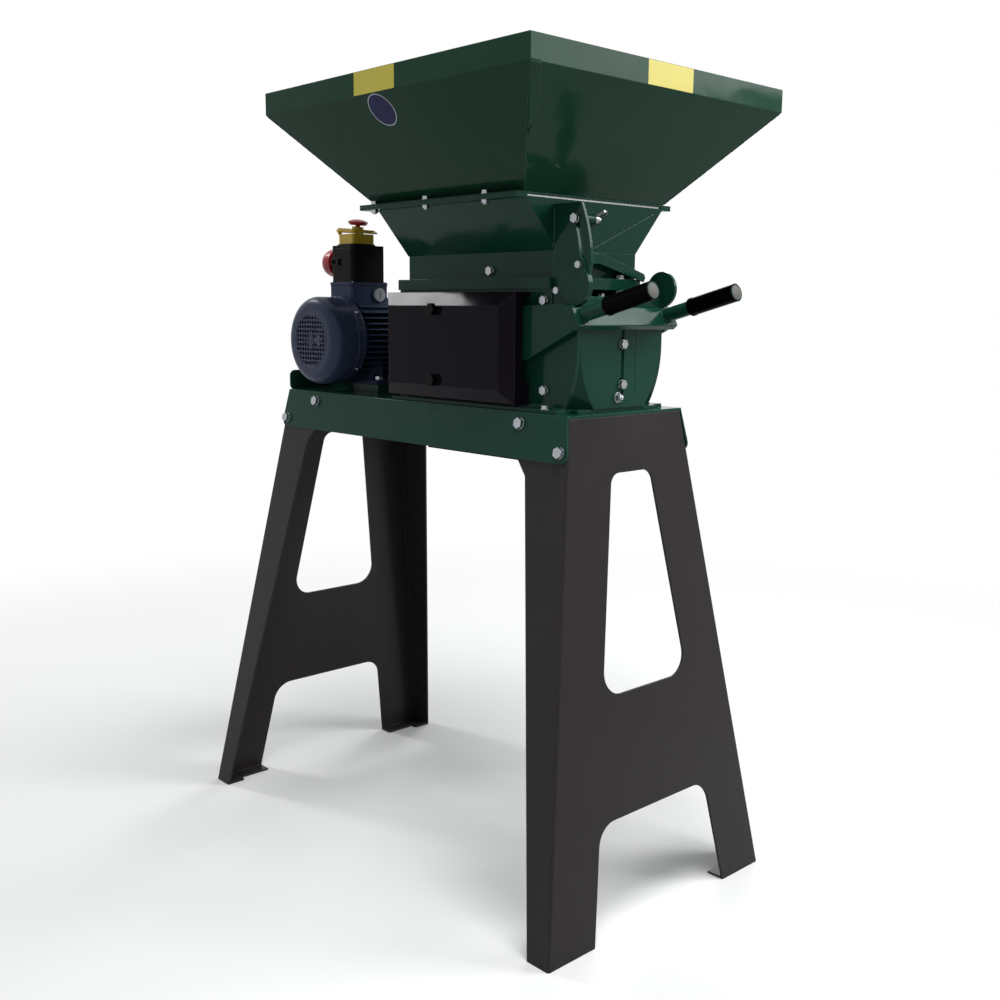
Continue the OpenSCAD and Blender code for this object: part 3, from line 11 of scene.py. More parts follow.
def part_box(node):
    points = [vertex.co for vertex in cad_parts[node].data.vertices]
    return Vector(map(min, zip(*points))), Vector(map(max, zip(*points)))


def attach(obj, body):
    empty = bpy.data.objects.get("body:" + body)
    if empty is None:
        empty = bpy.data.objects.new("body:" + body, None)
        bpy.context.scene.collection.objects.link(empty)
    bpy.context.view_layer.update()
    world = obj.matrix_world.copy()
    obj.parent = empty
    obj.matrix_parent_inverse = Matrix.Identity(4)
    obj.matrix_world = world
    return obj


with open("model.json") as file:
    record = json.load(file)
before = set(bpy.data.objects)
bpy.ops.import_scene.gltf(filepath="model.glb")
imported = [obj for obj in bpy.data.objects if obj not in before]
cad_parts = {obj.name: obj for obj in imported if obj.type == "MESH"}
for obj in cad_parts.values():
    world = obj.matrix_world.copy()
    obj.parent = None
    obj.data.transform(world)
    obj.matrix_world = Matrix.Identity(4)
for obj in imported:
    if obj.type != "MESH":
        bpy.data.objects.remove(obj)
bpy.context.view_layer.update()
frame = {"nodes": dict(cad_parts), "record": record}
nodes = frame["nodes"]

# Pieces and bevels are given in millimetres. Bumps, lamps, floor and camera are in metres
MM = 0.001
# How deep the turned pieces that are laid on go into the solid below them
SINK = 0.4
# Points along one ripple of a weld bead
RIPPLE = 4


def linear(r, g, b):
    """A colour given as it looks on a screen, from 0 to 255, as linear values."""
    out = []
    for v in (r, g, b):
        c = v / 255
        out.append(c / 12.92 if c <= 0.04045 else ((c + 0.055) / 1.055) ** 2.4)
    return (*out, 1.0)


def scaled(color, k):
    return (color[0] * k, color[1] * k, color[2] * k, 1.0)


class Maker:
    """Small helper that adds and joins shader nodes."""

    def __init__(self, name):
        self.mat = bpy.data.materials.new(name)
        self.mat.use_nodes = True
        self.tree = self.mat.node_tree
        self.tree.nodes.clear()
        self.bsdf = self.add("ShaderNodeBsdfPrincipled")
        self.out = self.add("ShaderNodeOutputMaterial")
        self.join(self.bsdf, "BSDF", self.out, "Surface")

    def add(self, kind, **values):
        """Adds a node; the values go to its inputs, with _ for a space in their names."""
        node = self.tree.nodes.new(kind)
        for key, value in values.items():
            node.inputs[key.replace("_", " ")].default_value = value
        return node

    def join(self, a, a_name, b, b_name):
        self.tree.links.new(a.outputs[a_name], b.inputs[b_name])

    def noise(self, scale, detail=3.0, stretch=None):
        coords = self.add("ShaderNodeTexCoord")
        node = self.add("ShaderNodeTexNoise", Scale=scale, Detail=detail)
        if stretch:
            mapping = self.add("ShaderNodeMapping", Scale=stretch)
            self.join(coords, "Object", mapping, "Vector")
            self.join(mapping, "Vector", node, "Vector")
        else:
            self.join(coords, "Object", node, "Vector")
        return node

    def remap(self, source, output, low, high, a, b):
        node = self.add("ShaderNodeMapRange", From_Min=low, From_Max=high, To_Min=a, To_Max=b)
        self.join(source, output, node, "Value")
        return node

    def mix(self, factor, low, high):
        """Mixes two colours, each a value or a socket, by a socket."""
        node = self.add("ShaderNodeMix")
        node.data_type = "RGBA"
        for i, value in ((6, low), (7, high)):
            if isinstance(value, tuple):
                node.inputs[i].default_value = value
            else:
                self.tree.links.new(value, node.inputs[i])
        self.tree.links.new(factor, node.inputs[0])
        return node.outputs[2]

    def soften(self, edge):
        """Rounds the edges for the light, by the given radius in millimetres."""
        self.soft = self.add("ShaderNodeBevel", Radius=edge * MM)
        self.soft.samples = 4

    def edges(self):
        """1 along the edges of the solid, 0 on its faces. It needs soften first."""
        flat = self.add("ShaderNodeNewGeometry")
        dot = self.add("ShaderNodeVectorMath")
        dot.operation = "DOT_PRODUCT"
        self.tree.links.new(self.soft.outputs["Normal"], dot.inputs[0])
        self.tree.links.new(flat.outputs["Normal"], dot.inputs[1])
        return self.remap(dot, "Value", 0.998, 0.93, 0.0, 1.0).outputs["Result"]

    def color(self, source, low, high, painted_highlight=None):
        """Lets a noise move the base colour between two values, and lightens the edges with a painted
        highlight.
        """
        out = self.mix(source.outputs["Fac"], low, high)
        if painted_highlight:
            # Along the edges the base colour turns lighter, a painted highlight.
            out = self.mix(self.edges(), out, painted_highlight)
        self.tree.links.new(out, self.bsdf.inputs["Base Color"])

    def bumps(self, layers):
        """Lays bumps of (height source, strength, distance) on the softened edges."""
        last = self.soft
        for height, strength, distance in layers:
            bump = self.add("ShaderNodeBump", Strength=strength, Distance=distance)
            self.join(height, "Fac", bump, "Height")
            self.join(last, "Normal", bump, "Normal")
            last = bump
        self.join(last, "Normal", self.bsdf, "Normal")
        self.join(last, "Normal", self.bsdf, "Coat Normal")


def paint(name, color, rough=0.2, peel=0.05, wave=0.0, grain=0.0, gloss=0.1, edge=0.9, spread=0.1, painted_highlight=2.2):
    """Paint on metal: clouds in colour and gloss, orange peel, buckled sheet, soft edges that catch light,
    and a lighter base colour along the edges as a painted highlight.
    """
    m = Maker(name)
    m.soften(edge)
    # The third colour, the base colour times the last factor, is a painted highlight along the edges.
    m.color(m.noise(6.0, 4.0), scaled(color, 1 - spread), scaled(color, 1 + spread), scaled(color, painted_highlight))
    shine = m.remap(m.noise(14.0, 5.0), "Fac", 0.3, 0.7, max(rough - 0.05, 0.02), rough + 0.07)
    m.join(shine, "Result", m.bsdf, "Roughness")
    m.bsdf.inputs["Specular IOR Level"].default_value = gloss
    layers = [(m.noise(420.0, 2.0), peel, 0.0006)]
    if wave:
        layers.append((m.noise(9.0, 2.0), wave, 0.02))
    if grain:
        layers.append((m.noise(1500.0, 1.0), grain, 0.0002))
    m.bumps(layers)
    return m.mat


def metal(name, color, rough=0.3, stretch=None, edge=0.4, scratch=0.15):
    """Bare or plated metal, brushed along one direction where stretch is given."""
    m = Maker(name)
    m.soften(edge)
    lines = m.noise(90.0, 6.0, stretch)
    m.color(lines, scaled(color, 0.8), scaled(color, 1.12))
    m.bsdf.inputs["Metallic"].default_value = 1.0
    shine = m.remap(lines, "Fac", 0.3, 0.7, max(rough - 0.08, 0.05), rough + 0.1)
    m.join(shine, "Result", m.bsdf, "Roughness")
    m.bumps([(lines, scratch, 0.0002)])
    return m.mat


def plastic(name, color, rough=0.4, coat=0.0, grain=0.05, edge=0.8, gloss=0.4, scale=900.0):
    """Moulded plastic or rubber with a fine skin."""
    m = Maker(name)
    m.soften(edge)
    m.color(m.noise(25.0, 3.0), scaled(color, 0.9), scaled(color, 1.1))
    m.bsdf.inputs["Roughness"].default_value = rough
    m.bsdf.inputs["Specular IOR Level"].default_value = gloss
    m.bsdf.inputs["Coat Weight"].default_value = coat
    m.bsdf.inputs["Coat Roughness"].default_value = 0.08
    m.bumps([(m.noise(scale, 2.0), grain, 0.0003)])
    return m.mat


# In the paints the last factor lightens the colour along the edges as a painted highlight.
MATERIALS = {
    "leg_paint": paint("leg_paint", linear(48, 45, 44), rough=0.24, peel=0.1, grain=0.22, gloss=0.12,
                       edge=1.8, painted_highlight=2.6),
    "green_paint": paint("green_paint", linear(24, 71, 56), rough=0.12, wave=0.05, edge=1.1, painted_highlight=2.0),
    "hopper_paint": paint("hopper_paint", linear(32, 72, 54), rough=0.1, wave=0.08, gloss=0.06, edge=1.4,
                          painted_highlight=1.7),
    "spout_paint": paint("spout_paint", linear(14, 34, 30), rough=0.35),
    "motor_paint": paint("motor_paint", linear(56, 68, 98), rough=0.36, peel=0.15, grain=0.2, painted_highlight=1.8),
    "cover_paint": paint("cover_paint", linear(57, 66, 93), rough=0.28, peel=0.1, gloss=0.14, edge=1.6,
                         painted_highlight=1.6),
    "black_gloss": paint("black_gloss", linear(24, 18, 29), rough=0.09, peel=0.04, gloss=0.045, edge=2.4,
                         painted_highlight=4.0),
    "black_plastic": plastic("black_plastic", linear(9, 9, 11), rough=0.28, gloss=0.06),
    "grey_plastic": plastic("grey_plastic", linear(190, 192, 194), rough=0.4),
    "yellow_plastic": plastic("yellow_plastic", linear(214, 176, 20), rough=0.32, coat=0.1),
    "red_plastic": plastic("red_plastic", linear(170, 24, 36), rough=0.3, coat=0.1, gloss=0.25),
    "green_plastic": plastic("green_plastic", linear(20, 130, 60), rough=0.3, coat=0.2),
    "zinc": metal("zinc", linear(160, 164, 169), rough=0.24),
    "machined_steel": metal("machined_steel", linear(160, 160, 163), rough=0.3, stretch=(1.0, 18.0, 1.0)),
    "cast_parts": metal("cast_parts", linear(95, 95, 98), rough=0.45),
    "belt_rubber": plastic("belt_rubber", linear(20, 20, 20), rough=0.75, grain=0.3, gloss=0.15),
    "grip_rubber": plastic("grip_rubber", linear(3, 3, 4), rough=0.34, grain=0.12, gloss=0.02),
}
for part in frame["record"]["subparts"]:
    data = nodes[part["node"]].data
    if not data.materials:
        data.materials.append(None)
    for i in range(len(data.materials)):
        data.materials[i] = MATERIALS[part["material_slot"]]

STICKER = plastic("sticker_yellow", linear(214, 199, 50), rough=0.38, coat=0.1, grain=0.02, edge=0.1)
SIGN_BLUE = plastic("sticker_blue", linear(30, 36, 88), rough=0.35, gloss=0.1, grain=0.02, edge=0.1)
SIGN_WHITE = plastic("sticker_white", linear(200, 206, 212), rough=0.38, coat=0.2, grain=0.02, edge=0.1)
CREAM = plastic("tube_plug", linear(74, 71, 66), rough=0.5)
DARK = plastic("inside_dark", linear(8, 8, 9), rough=0.8, grain=0.0, edge=0.1)


def finish_mesh(name, bm, material, body, smooth=True):
    """Makes an object from the mesh code, shades it, and lets it ride on a body."""
    bmesh.ops.recalc_face_normals(bm, faces=bm.faces)
    data = bpy.data.meshes.new(name)
    bm.to_mesh(data)
    bm.free()
    obj = bpy.data.objects.new(name, data)
    bpy.context.scene.collection.objects.link(obj)
    data.materials.append(material)
    for poly in data.polygons:
        poly.use_smooth = smooth
    if smooth:
        data.set_sharp_from_angle(angle=math.radians(38))
    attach(obj, body)
    return obj


def across(normal):
    """Two directions at right angles to a normal and to each other."""
    n = Vector(normal).normalized()
    u = n.orthogonal().normalized()
    return n, u, n.cross(u)


def tube(name, points, radii, material, body, sides=8):
    """A round bar with its own radius at every point, in millimetres."""
    bm = bmesh.new()
    rings = []
    side = None
    for i, p in enumerate(points):
        axis = (points[min(i + 1, len(points) - 1)] - points[max(i - 1, 0)]).normalized()
        side = axis.orthogonal().normalized() if side is None else (side - axis * side.dot(axis)).normalized()
        up = axis.cross(side)
        ring = []
        for k in range(sides):
            a = 2 * math.pi * k / sides
            ring.append(bm.verts.new((p + (side * math.cos(a) + up * math.sin(a)) * radii[i]) * MM))
        rings.append(ring)
    for r, q in zip(rings, rings[1:]):
        for k in range(sides):
            bm.faces.new((r[k], r[(k + 1) % sides], q[(k + 1) % sides], q[k]))
    bm.faces.new(list(reversed(rings[0])))
    bm.faces.new(rings[-1])
    return finish_mesh(name, bm, material, body)


def weld(name, path, radius, material, body, seed=1, pitch=2.6):
    """A hand-laid weld bead along the corners of a path, in millimetres."""
    rng = random.Random(seed)
    corners = [Vector(p) for p in path]
    points, radii = [], []
    for a, b in zip(corners, corners[1:]):
        count = max(int((b - a).length / pitch * RIPPLE), 2)
        for i in range(count):
            points.append(a.lerp(b, i / count))
    points.append(corners[-1])
    swell = 1.0
    for i in range(len(points)):
        if i % RIPPLE == 0:
            swell = rng.uniform(0.88, 1.14)
        radii.append(radius * (0.88 + 0.16 * abs(math.sin(math.pi * i / RIPPLE))) * swell)
    radii[0] *= 0.5
    radii[-1] *= 0.5
    return tube(name, points, radii, material, body)


def ring_path(centre, normal, radius, start=0.0, end=360.0, steps=28):
    """Points on a circle about centre, in millimetres."""
    u, v = across(normal)[1:]
    out = []
    for i in range(steps + 1):
        a = math.radians(start + (end - start) * i / steps)
        out.append(Vector(centre) + (u * math.cos(a) + v * math.sin(a)) * radius)
    return out


def lathe(name, centre, axis, profile, material, body, loop=False, steps=48):
    """Turns (radius, height) points about an axis. With loop the last point joins the first."""
    n, u, v = across(axis)
    bm = bmesh.new()
    rows = []
    for r, h in profile:
        middle = Vector(centre) + n * h
        if r < 0.001:
            rows.append([bm.verts.new(middle * MM)])
            continue
        row = []
        for k in range(steps):
            a = 2 * math.pi * k / steps
            row.append(bm.verts.new((middle + (u * math.cos(a) + v * math.sin(a)) * r) * MM))
        rows.append(row)
    pairs = list(zip(rows, rows[1:]))
    if loop:
        pairs.append((rows[-1], rows[0]))
    for a, b in pairs:
        if len(a) + len(b) == 2:
            continue
        for k in range(steps):
            j = (k + 1) % steps
            if len(a) == 1:
                bm.faces.new((a[0], b[k], b[j]))
            elif len(b) == 1:
                bm.faces.new((a[k], a[j], b[0]))
            else:
                bm.faces.new((a[k], a[j], b[j], b[k]))
    return finish_mesh(name, bm, material, body)


def hoop(name, centre, axis, radius, section, material, body, sides=10):
    """A ring of round section."""
    profile = []
    for i in range(sides):
        a = 2 * math.pi * i / sides
        profile.append((radius + section * math.cos(a), section * math.sin(a)))
    return lathe(name, centre, axis, profile, material, body, loop=True, steps=72)


def sheet(name, outline, normal, thick, material, body, chamfer=0.0, sink=0.0):
    """A flat piece of the given thickness on a face, its edge drawn in by the chamfer. Millimetres."""
    n = Vector(normal).normalized()
    middle = sum((Vector(p) for p in outline), Vector()) / len(outline)
    bm = bmesh.new()
    low, high = [], []
    for p in outline:
        p = Vector(p)
        low.append(bm.verts.new((p - n * sink) * MM))
        inward = (middle - p).normalized() * chamfer
        high.append(bm.verts.new((p + inward + n * thick) * MM))
    bm.faces.new(high)
    bm.faces.new(list(reversed(low)))
    for i in range(len(outline)):
        j = (i + 1) % len(outline)
        bm.faces.new((low[i], low[j], high[j], high[i]))
    return finish_mesh(name, bm, material, body, smooth=False)


def rounded(centre, u, v, width, height, corner, steps=6):
    """The outline of a rectangle with round corners in the directions u and v."""
    u = Vector(u).normalized()
    v = Vector(v).normalized()
    out = []
    for cx, cy, a0 in ((1, 1, 0), (-1, 1, 90), (-1, -1, 180), (1, -1, 270)):
        for i in range(steps + 1):
            a = math.radians(a0 + 90 * i / steps)
            x = cx * (width / 2 - corner) + corner * math.cos(a)
            y = cy * (height / 2 - corner) + corner * math.sin(a)
            out.append(Vector(centre) + u * x + v * y)
    return out


def collar(name, centre, width, depth, corner, low, high, proud, material, body):
    """A band round an upright box, standing proud of it by the given amount."""
    bm = bmesh.new()
    rows = []
    for z, grow in ((low, -1.0), (low, proud), (high, proud), (high, -1.0)):
        row = []
        outline = rounded((centre[0], centre[1], z), (1, 0, 0), (0, 1, 0), width + 2 * grow, depth + 2 * grow,
                          corner + grow)
        for p in outline:
            row.append(bm.verts.new(p * MM))
        rows.append(row)
    count = len(rows[0])
    for a, b in zip(rows, rows[1:] + rows[:1]):
        for k in range(count):
            bm.faces.new((a[k], a[(k + 1) % count], b[(k + 1) % count], b[k]))
    return finish_mesh(name, bm, material, body, smooth=False)


def screw(name, centre, axis, radius, body, slot="zinc"):
    """A pan-head screw with a hollow for the driver."""
    r = radius
    profile = [(0, -SINK), (r, -SINK), (r, 0.25 * r), (0.8 * r, 0.5 * r), (0.45 * r, 0.58 * r),
               (0.4 * r, 0.2 * r), (0, 0.15 * r)]
    return lathe(name, centre, axis, profile, MATERIALS[slot], body, steps=24)


def mid(node):
    """Middle of a node's box, in millimetres."""
    low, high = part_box(node)
    return (low + high) / 2 / MM


def corners_of(node):
    """Low and high corner of a node's box, in millimetres."""
    low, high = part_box(node)
    return low / MM, high / MM


green = MATERIALS["green_paint"]
hopper_green = MATERIALS["hopper_paint"]

# Hopper: plain stickers, seams along the corners, and the lap of the front sheet on the right one
hop_low, hop_high = corners_of("hopper")
# Heights of the rim band and of the slopes, and the places of the slopes' lower edges
RIM_H = 38.4
SLOPE_H = 160.0
SLOPE_FOOT = {1: 329.4, -1: -61.0}
FOOT_Y = 174.0
STICKER_T = 0.03
FRONT_STICKER_X = 116.0
FRONT_STICKER_W = 108.0
RIGHT_STICKER_Y = 2.0
RIGHT_STICKER_W = 112.0
SIGN_R = 30.0
SIGN_INNER_R = 28.2
SIGN_T = 0.1
SIGN_RING_T = 0.18
HOPPER_SEAM_R = 1.4
rim_low = hop_high.z - RIM_H
foot_z = rim_low - SLOPE_H
rim_mid = hop_high.z - RIM_H / 2
front_at = (FRONT_STICKER_X, hop_low.y, rim_mid)
right_at = (hop_high.x, RIGHT_STICKER_Y, rim_mid)
front_sticker = rounded(front_at, (1, 0, 0), (0, 0, 1), FRONT_STICKER_W, RIM_H - 1, 1.0)
right_sticker = rounded(right_at, (0, 1, 0), (0, 0, 1), RIGHT_STICKER_W, RIM_H - 1, 1.0)
sheet("sticker_front", front_sticker, (0, -1, 0), STICKER_T, STICKER, "frame")
sheet("sticker_right", right_sticker, (1, 0, 0), STICKER_T, STICKER, "frame")
front_slope = Vector((0, -SLOPE_H, hop_low.y + FOOT_Y)).normalized()
sign_at = Vector((112, -290.6, 1362.9))
disc = [(0, -SINK), (SIGN_R, -SINK), (SIGN_R, SIGN_T), (0, SIGN_T)]
lathe("sign_disc", sign_at, front_slope, disc, SIGN_BLUE, "frame")
ring = [(SIGN_INNER_R, SIGN_T), (SIGN_R, SIGN_T), (SIGN_R, SIGN_RING_T), (SIGN_INNER_R, SIGN_RING_T)]
lathe("sign_edge", sign_at, front_slope, ring, SIGN_WHITE, "frame", loop=True)
for sx in (1, -1):
    for sy in (1, -1):
        foot = Vector((SLOPE_FOOT[sx], sy * FOOT_Y, foot_z))
        head = Vector((hop_high.x if sx > 0 else hop_low.x, sy * hop_high.y, rim_low))
        name = "hopper_seam_%s_%s" % ("right" if sx > 0 else "left", "rear" if sy > 0 else "front")
        inset = Vector((-0.6 * sx, -0.6 * sy, 0.3))
        weld(name, [foot.lerp(head, 0.01) + inset, foot.lerp(head, 0.985) + inset], HOPPER_SEAM_R,
             hopper_green, "frame", seed=3 + sx + 2 * sy, pitch=4.0)
right_slope = Vector((SLOPE_H, 0, SLOPE_FOOT[1] - hop_high.x)).normalized()
top_corner = Vector((hop_high.x, hop_low.y, rim_low))
foot_corner = Vector((SLOPE_FOOT[1], -FOOT_Y, foot_z))
# Share of the way down the corner, and width of the lap there
LAP_WIDTHS = ((0.12, 23), (0.24, 22), (0.36, 21), (0.42, 19.5), (0.45, 14), (0.47, 7), (0.5, 1.5))
LAP_END = ((0.40, 20), (0.45, 13), (0.48, 7), (0.53, 3))
lap = [top_corner, top_corner + Vector((0, 23, 0))]
for down, wide in LAP_WIDTHS:
    lap.append(top_corner.lerp(foot_corner, down) + Vector((0, wide, 0)))
sheet("hopper_lap", lap, right_slope, 1.6, hopper_green, "frame", chamfer=1.2, sink=0.3)
lap_end = [top_corner.lerp(foot_corner, t) + Vector((0.6, w, -0.6)) for t, w in LAP_END]
weld("hopper_lap_end", lap_end, 1.5, hopper_green, "frame", seed=4, pitch=5.0)
rim_tab = rounded((hop_high.x, hop_low.y + 12, rim_mid), (0, 1, 0), (0, 0, 1), 24, RIM_H - 0.4, 3.0)
sheet("rim_lap", rim_tab, (1, 0, 0), 0.9, hopper_green, "frame", chamfer=0.8, sink=0.3)

# Feed: weld ridge on the end wall, seams beside the quadrant plate and the rear lobe
NECK_END = 331.0
QUADRANT_Y = -106.3
LOBE_Y = 108.3
ridge = [(NECK_END + 0.3, -13.3, 1142.5), (NECK_END + 0.3, 145.9, 1210.0)]
weld("funnel_ridge", ridge, 1.5, green, "frame", seed=9, pitch=7.0)
quadrant = [(NECK_END + 0.6, QUADRANT_Y, 1142.0), (NECK_END + 0.6, QUADRANT_Y, 1206.0)]
weld("quadrant_seam", quadrant, 2.0, green, "frame", seed=11)
lobe = [(NECK_END + 6, LOBE_Y, 1062.0), (NECK_END + 6, LOBE_Y, 1072.0), (NECK_END + 10, LOBE_Y, 1073.0)]
weld("lobe_seam", lobe, 1.4, green, "frame", seed=12)

# Clamp: painted spacer round the bolt
clamp_low = corners_of("wing_nut")[0]
clamp_at = mid("wing_nut")
SPACER_LEN = 24.0
spacer = [(7.6, 0), (8.2, 0.4), (8.2, SPACER_LEN - 0.4), (7.6, SPACER_LEN)]
spacer_at = (clamp_at.x, clamp_low.y - SPACER_LEN - 0.4, clamp_at.z)
lathe("clamp_spacer", spacer_at, (0, 1, 0), spacer, green, "flap", loop=True)

# Housing: seams at the foot of the side plates and on the base
PLATE_Y = 108.0
BASE_Z = 870.0
FLANGE_Z = BASE_Z + 6
FOOT_SEAM_X = (284, 366)
UPSTAND_X = -404.6
UPSTAND_SEAM_Y = (100, 30)
for s, word in ((-1, "front"), (1, "rear")):
    foot_seam = [(x, s * (PLATE_Y + 0.4), FLANGE_Z + 0.3) for x in FOOT_SEAM_X]
    weld("foot_seam_" + word, foot_seam, 2.1, green, "frame", seed=14 + s)
    upstand_seam = [(UPSTAND_X, s * y, BASE_Z + 0.4) for y in UPSTAND_SEAM_Y]
    weld("upstand_seam_" + word, upstand_seam, 1.8, green, "frame", seed=20 + s)

# Lever: beads round the tube roots and plain plugs in the tube ends
TUBE_SLOPE = math.radians(15.1)
TUBE_Y = 107
TUBE_LEN = 156
PLUG_R = 10.4
tube_dir = Vector((math.cos(TUBE_SLOPE), 0, math.sin(TUBE_SLOPE)))
plate_dir = Vector((0.891, 0, 0.454))
plug = [(0, -SINK), (PLUG_R, -SINK), (PLUG_R, 0.1), (PLUG_R - 1, 0.35), (0, 0.35)]
for s, word in ((-1, "front"), (1, "rear")):
    root = Vector((400.9, s * TUBE_Y, 1032.6))
    bead = ring_path(root, plate_dir, 13.2)
    weld("tube_bead_" + word, bead, 1.7, green, "lever", seed=30 + s)
    end = Vector((395, s * TUBE_Y, 1031)) + tube_dir * TUBE_LEN
    lathe("tube_plug_" + word, end, tube_dir, plug, CREAM, "lever", steps=32)

# Motor: ring beads and screws of the fan cover, rosette and rim of its grille
fan_low, fan_high = corners_of("fan_cover")
motor = Vector(((fan_low.x + fan_high.x) / 2, 0, (fan_low.z + fan_high.z) / 2))
COVER_R = 88.0
cover = MATERIALS["cover_paint"]
for y, section in ((fan_high.y - 17, 1.5), (fan_high.y - 4, 1.1)):
    bead_name = "cover_bead_%d" % round(fan_high.y - y)
    hoop(bead_name, (motor.x, y, motor.z), (0, 1, 0), COVER_R - 0.4, section, cover, "frame")
hoop("grille_rim", (motor.x, fan_low.y + 0.4, motor.z), (0, 1, 0), 54.0, 1.1, cover, "frame")
for r in (5.0, 10.5, 16.0):
    ring_at = (motor.x, fan_low.y + 0.3, motor.z)
    hoop("grille_ring_%d" % round(r), ring_at, (0, 1, 0), r, 1.0, cover, "frame")
for i, a in enumerate((40, 140, 220, 320)):
    out = Vector((math.cos(math.radians(a)), 0, math.sin(math.radians(a))))
    screw_at = Vector((motor.x, fan_high.y - 10, motor.z)) + out * COVER_R
    screw("cover_screw_%d" % i, screw_at, out, 3.4, "frame")

# Switch unit: lids, gasket lines and screws
BOX_AT = (-298.5, -42.0)
BOX_W = 79
BOX_D = 92
BOX_CORNER = 6
BOX_TOP = 1092.8
LID_FOOT = 1087.0
SCREW_X = 35
SCREW_Y = 41
navy = MATERIALS["motor_paint"]
collar("terminal_lid", BOX_AT, BOX_W, BOX_D, BOX_CORNER, LID_FOOT, BOX_TOP, 1.2, navy, "frame")
collar("terminal_gasket", BOX_AT, BOX_W, BOX_D, BOX_CORNER, LID_FOOT - 1.1, LID_FOOT, 0.4, DARK, "frame")
collar("terminal_foot", BOX_AT, BOX_W, BOX_D, BOX_CORNER, 1048.2, 1052.0, 0.9, navy, "frame")
for i, (sx, sy) in enumerate(((1, -1), (-1, -1), (1, 1), (-1, 1))):
    screw_at = (BOX_AT[0] + sx * SCREW_X, BOX_AT[1] + sy * SCREW_Y, BOX_TOP)
    screw("terminal_screw_%d" % i, screw_at, (0, 0, 1), 2.6, "frame")
CAP_AT = (-356.0, -50.0, 1134.0)
cap_dome = [(28.6, 3.5), (29.0, 8.0), (29.1, 14.0), (28.4, 20.0), (26.2, 26.0), (22.4, 31.0), (17.2, 35.0),
            (11.0, 37.6), (5.2, 39.0), (0, 39.4), (0, 19.0), (27.0, 3.5)]
lathe("cap_dome", CAP_AT, (-1, 0, 0), cap_dome, MATERIALS["red_plastic"], "cap", loop=True)

# World, light, floor and camera, in metres and watts
ROOM_LIGHT = 0.27
FLOOR_HALF = 14.0
FLOOR_GREY = (0.42, 0.42, 0.41, 1.0)
FLOOR_WHITE = (0.9, 0.9, 0.9, 1.0)
FADE_FROM = 0.9
FADE_TO = 3.0
# Name, place, target, width, height, watts
LAMPS = (
    ("top", (1.2, -0.5, 3.9), (0.1, 0.0, 0.8), 1.7, 1.3, 95),
    ("key", (2.1, 2.0, 2.5), (0.3, 0.0, 0.9), 1.4, 1.4, 52),
    ("window", (-2.68, -0.78, 2.96), (0.0, -0.15, 1.06), 0.45, 0.8, 24),
    ("rear", (-1.4, 2.8, 2.2), (0.0, 0.0, 0.9), 1.4, 1.2, 30),
)
CAMERA_AT = Vector((1.6906, -1.4948, 1.0406))
CAMERA_LENS = 41.465
world = bpy.data.worlds.new("studio")
bpy.context.scene.world = world
world.use_nodes = True
tree = world.node_tree
tree.nodes.clear()


def background_rays(tree):
    """1 for rays that show the white background: from the camera, and through gloss or glass."""
    path = tree.nodes.new("ShaderNodeLightPath")
    first = tree.nodes.new("ShaderNodeMath")
    second = tree.nodes.new("ShaderNodeMath")
    first.operation = second.operation = "MAXIMUM"
    tree.links.new(path.outputs["Is Camera Ray"], first.inputs[0])
    tree.links.new(path.outputs["Is Glossy Ray"], first.inputs[1])
    tree.links.new(first.outputs[0], second.inputs[0])
    tree.links.new(path.outputs["Is Transmission Ray"], second.inputs[1])
    return second.outputs[0]


sky_out = tree.nodes.new("ShaderNodeOutputWorld")
room = tree.nodes.new("ShaderNodeBackground")
room.inputs["Strength"].default_value = ROOM_LIGHT
room.inputs["Color"].default_value = (0.93, 0.97, 1.0, 1.0)
back = tree.nodes.new("ShaderNodeBackground")
back.inputs["Color"].default_value = (1.0, 1.0, 1.0, 1.0)
choose = tree.nodes.new("ShaderNodeMixShader")
tree.links.new(background_rays(tree), choose.inputs[0])
tree.links.new(room.outputs[0], choose.inputs[1])
tree.links.new(back.outputs[0], choose.inputs[2])
tree.links.new(choose.outputs[0], sky_out.inputs[0])


def area(name, place, target, width, height, watts):
    """A rectangular lamp turned towards a target."""
    data = bpy.data.lights.new(name, "AREA")
    data.shape = "RECTANGLE"
    data.size = width
    data.size_y = height
    data.energy = watts
    obj = bpy.data.objects.new(name, data)
    bpy.context.scene.collection.objects.link(obj)
    obj.location = place
    obj.rotation_euler = (Vector(target) - Vector(place)).to_track_quat("-Z", "Y").to_euler()


for lamp in LAMPS:
    area(*lamp)

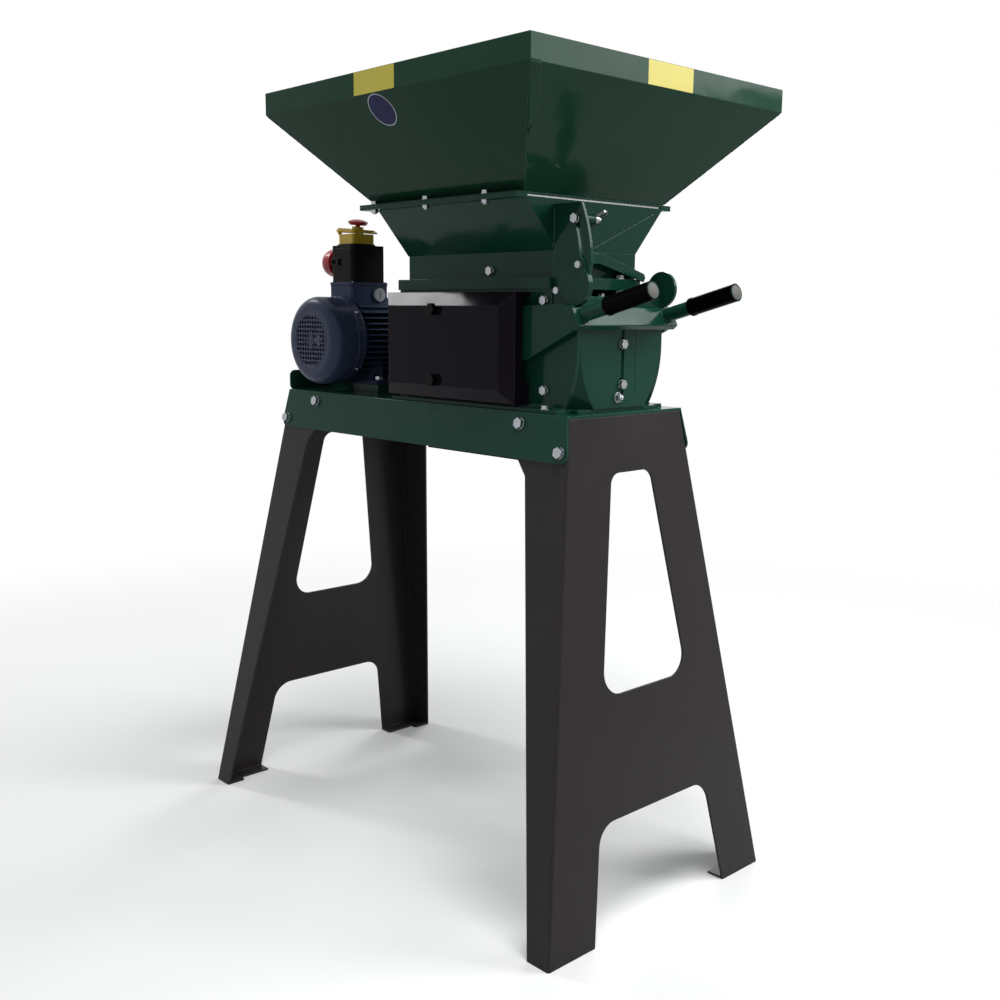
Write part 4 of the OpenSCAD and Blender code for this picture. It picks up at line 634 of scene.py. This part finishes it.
bm = bmesh.new()
corners = [(x * FLOOR_HALF, y * FLOOR_HALF, -0.0005) for x, y in ((-1, -1), (1, -1), (1, 1), (-1, 1))]
bm.faces.new([bm.verts.new(c) for c in corners])
data = bpy.data.meshes.new("floor")
bm.to_mesh(data)
bm.free()
floor = bpy.data.objects.new("floor", data)
bpy.context.scene.collection.objects.link(floor)
ground = Maker("floor")
ground.bsdf.inputs["Roughness"].default_value = 0.9
ground.bsdf.inputs["Specular IOR Level"].default_value = 0.0
pale = ground.add("ShaderNodeMix")
pale.data_type = "RGBA"
pale.inputs[6].default_value = FLOOR_GREY
pale.inputs[7].default_value = FLOOR_WHITE
seen = background_rays(ground.tree)
ground.tree.links.new(seen, pale.inputs[0])
ground.tree.links.new(pale.outputs[2], ground.bsdf.inputs["Base Color"])
coords = ground.add("ShaderNodeTexCoord")
reach = ground.add("ShaderNodeVectorMath")
reach.operation = "LENGTH"
ground.join(coords, "Object", reach, "Vector")
fade = ground.add("ShaderNodeMapRange", From_Min=FADE_FROM, From_Max=FADE_TO, To_Min=0.0, To_Max=1.0)
fade.interpolation_type = "SMOOTHSTEP"
ground.join(reach, "Value", fade, "Value")
both = ground.add("ShaderNodeMath")
both.operation = "MULTIPLY"
ground.tree.links.new(seen, both.inputs[0])
ground.tree.links.new(fade.outputs["Result"], both.inputs[1])
glow = ground.add("ShaderNodeEmission", Color=(1.0, 1.0, 1.0, 1.0), Strength=1.0)
mixed = ground.add("ShaderNodeMixShader")
ground.tree.links.new(both.outputs[0], mixed.inputs[0])
ground.tree.links.new(ground.bsdf.outputs[0], mixed.inputs[1])
ground.tree.links.new(glow.outputs[0], mixed.inputs[2])
ground.tree.links.new(mixed.outputs[0], ground.out.inputs["Surface"])
data.materials.append(ground.mat)

AZ = math.radians(46.9)
PITCH = math.radians(9.4)
ROLL = math.radians(0.5)
right = Vector((math.cos(AZ), math.sin(AZ), 0.0))
ahead = Vector((-math.sin(AZ) * math.cos(PITCH), math.cos(AZ) * math.cos(PITCH), -math.sin(PITCH)))
up = right.cross(ahead)
side = right * math.cos(ROLL) + up * math.sin(ROLL)
top = up * math.cos(ROLL) - right * math.sin(ROLL)
camera_data = bpy.data.cameras.new("camera")
camera_data.sensor_width = 36.0
camera_data.lens = CAMERA_LENS
camera = bpy.data.objects.new("camera", camera_data)
bpy.context.scene.collection.objects.link(camera)
camera.matrix_world = Matrix((
    (side.x, top.x, -ahead.x, CAMERA_AT.x),
    (side.y, top.y, -ahead.y, CAMERA_AT.y),
    (side.z, top.z, -ahead.z, CAMERA_AT.z),
    (0.0, 0.0, 0.0, 1.0),
))
bpy.context.scene.camera = camera
bpy.context.scene.view_settings.view_transform = "Standard"
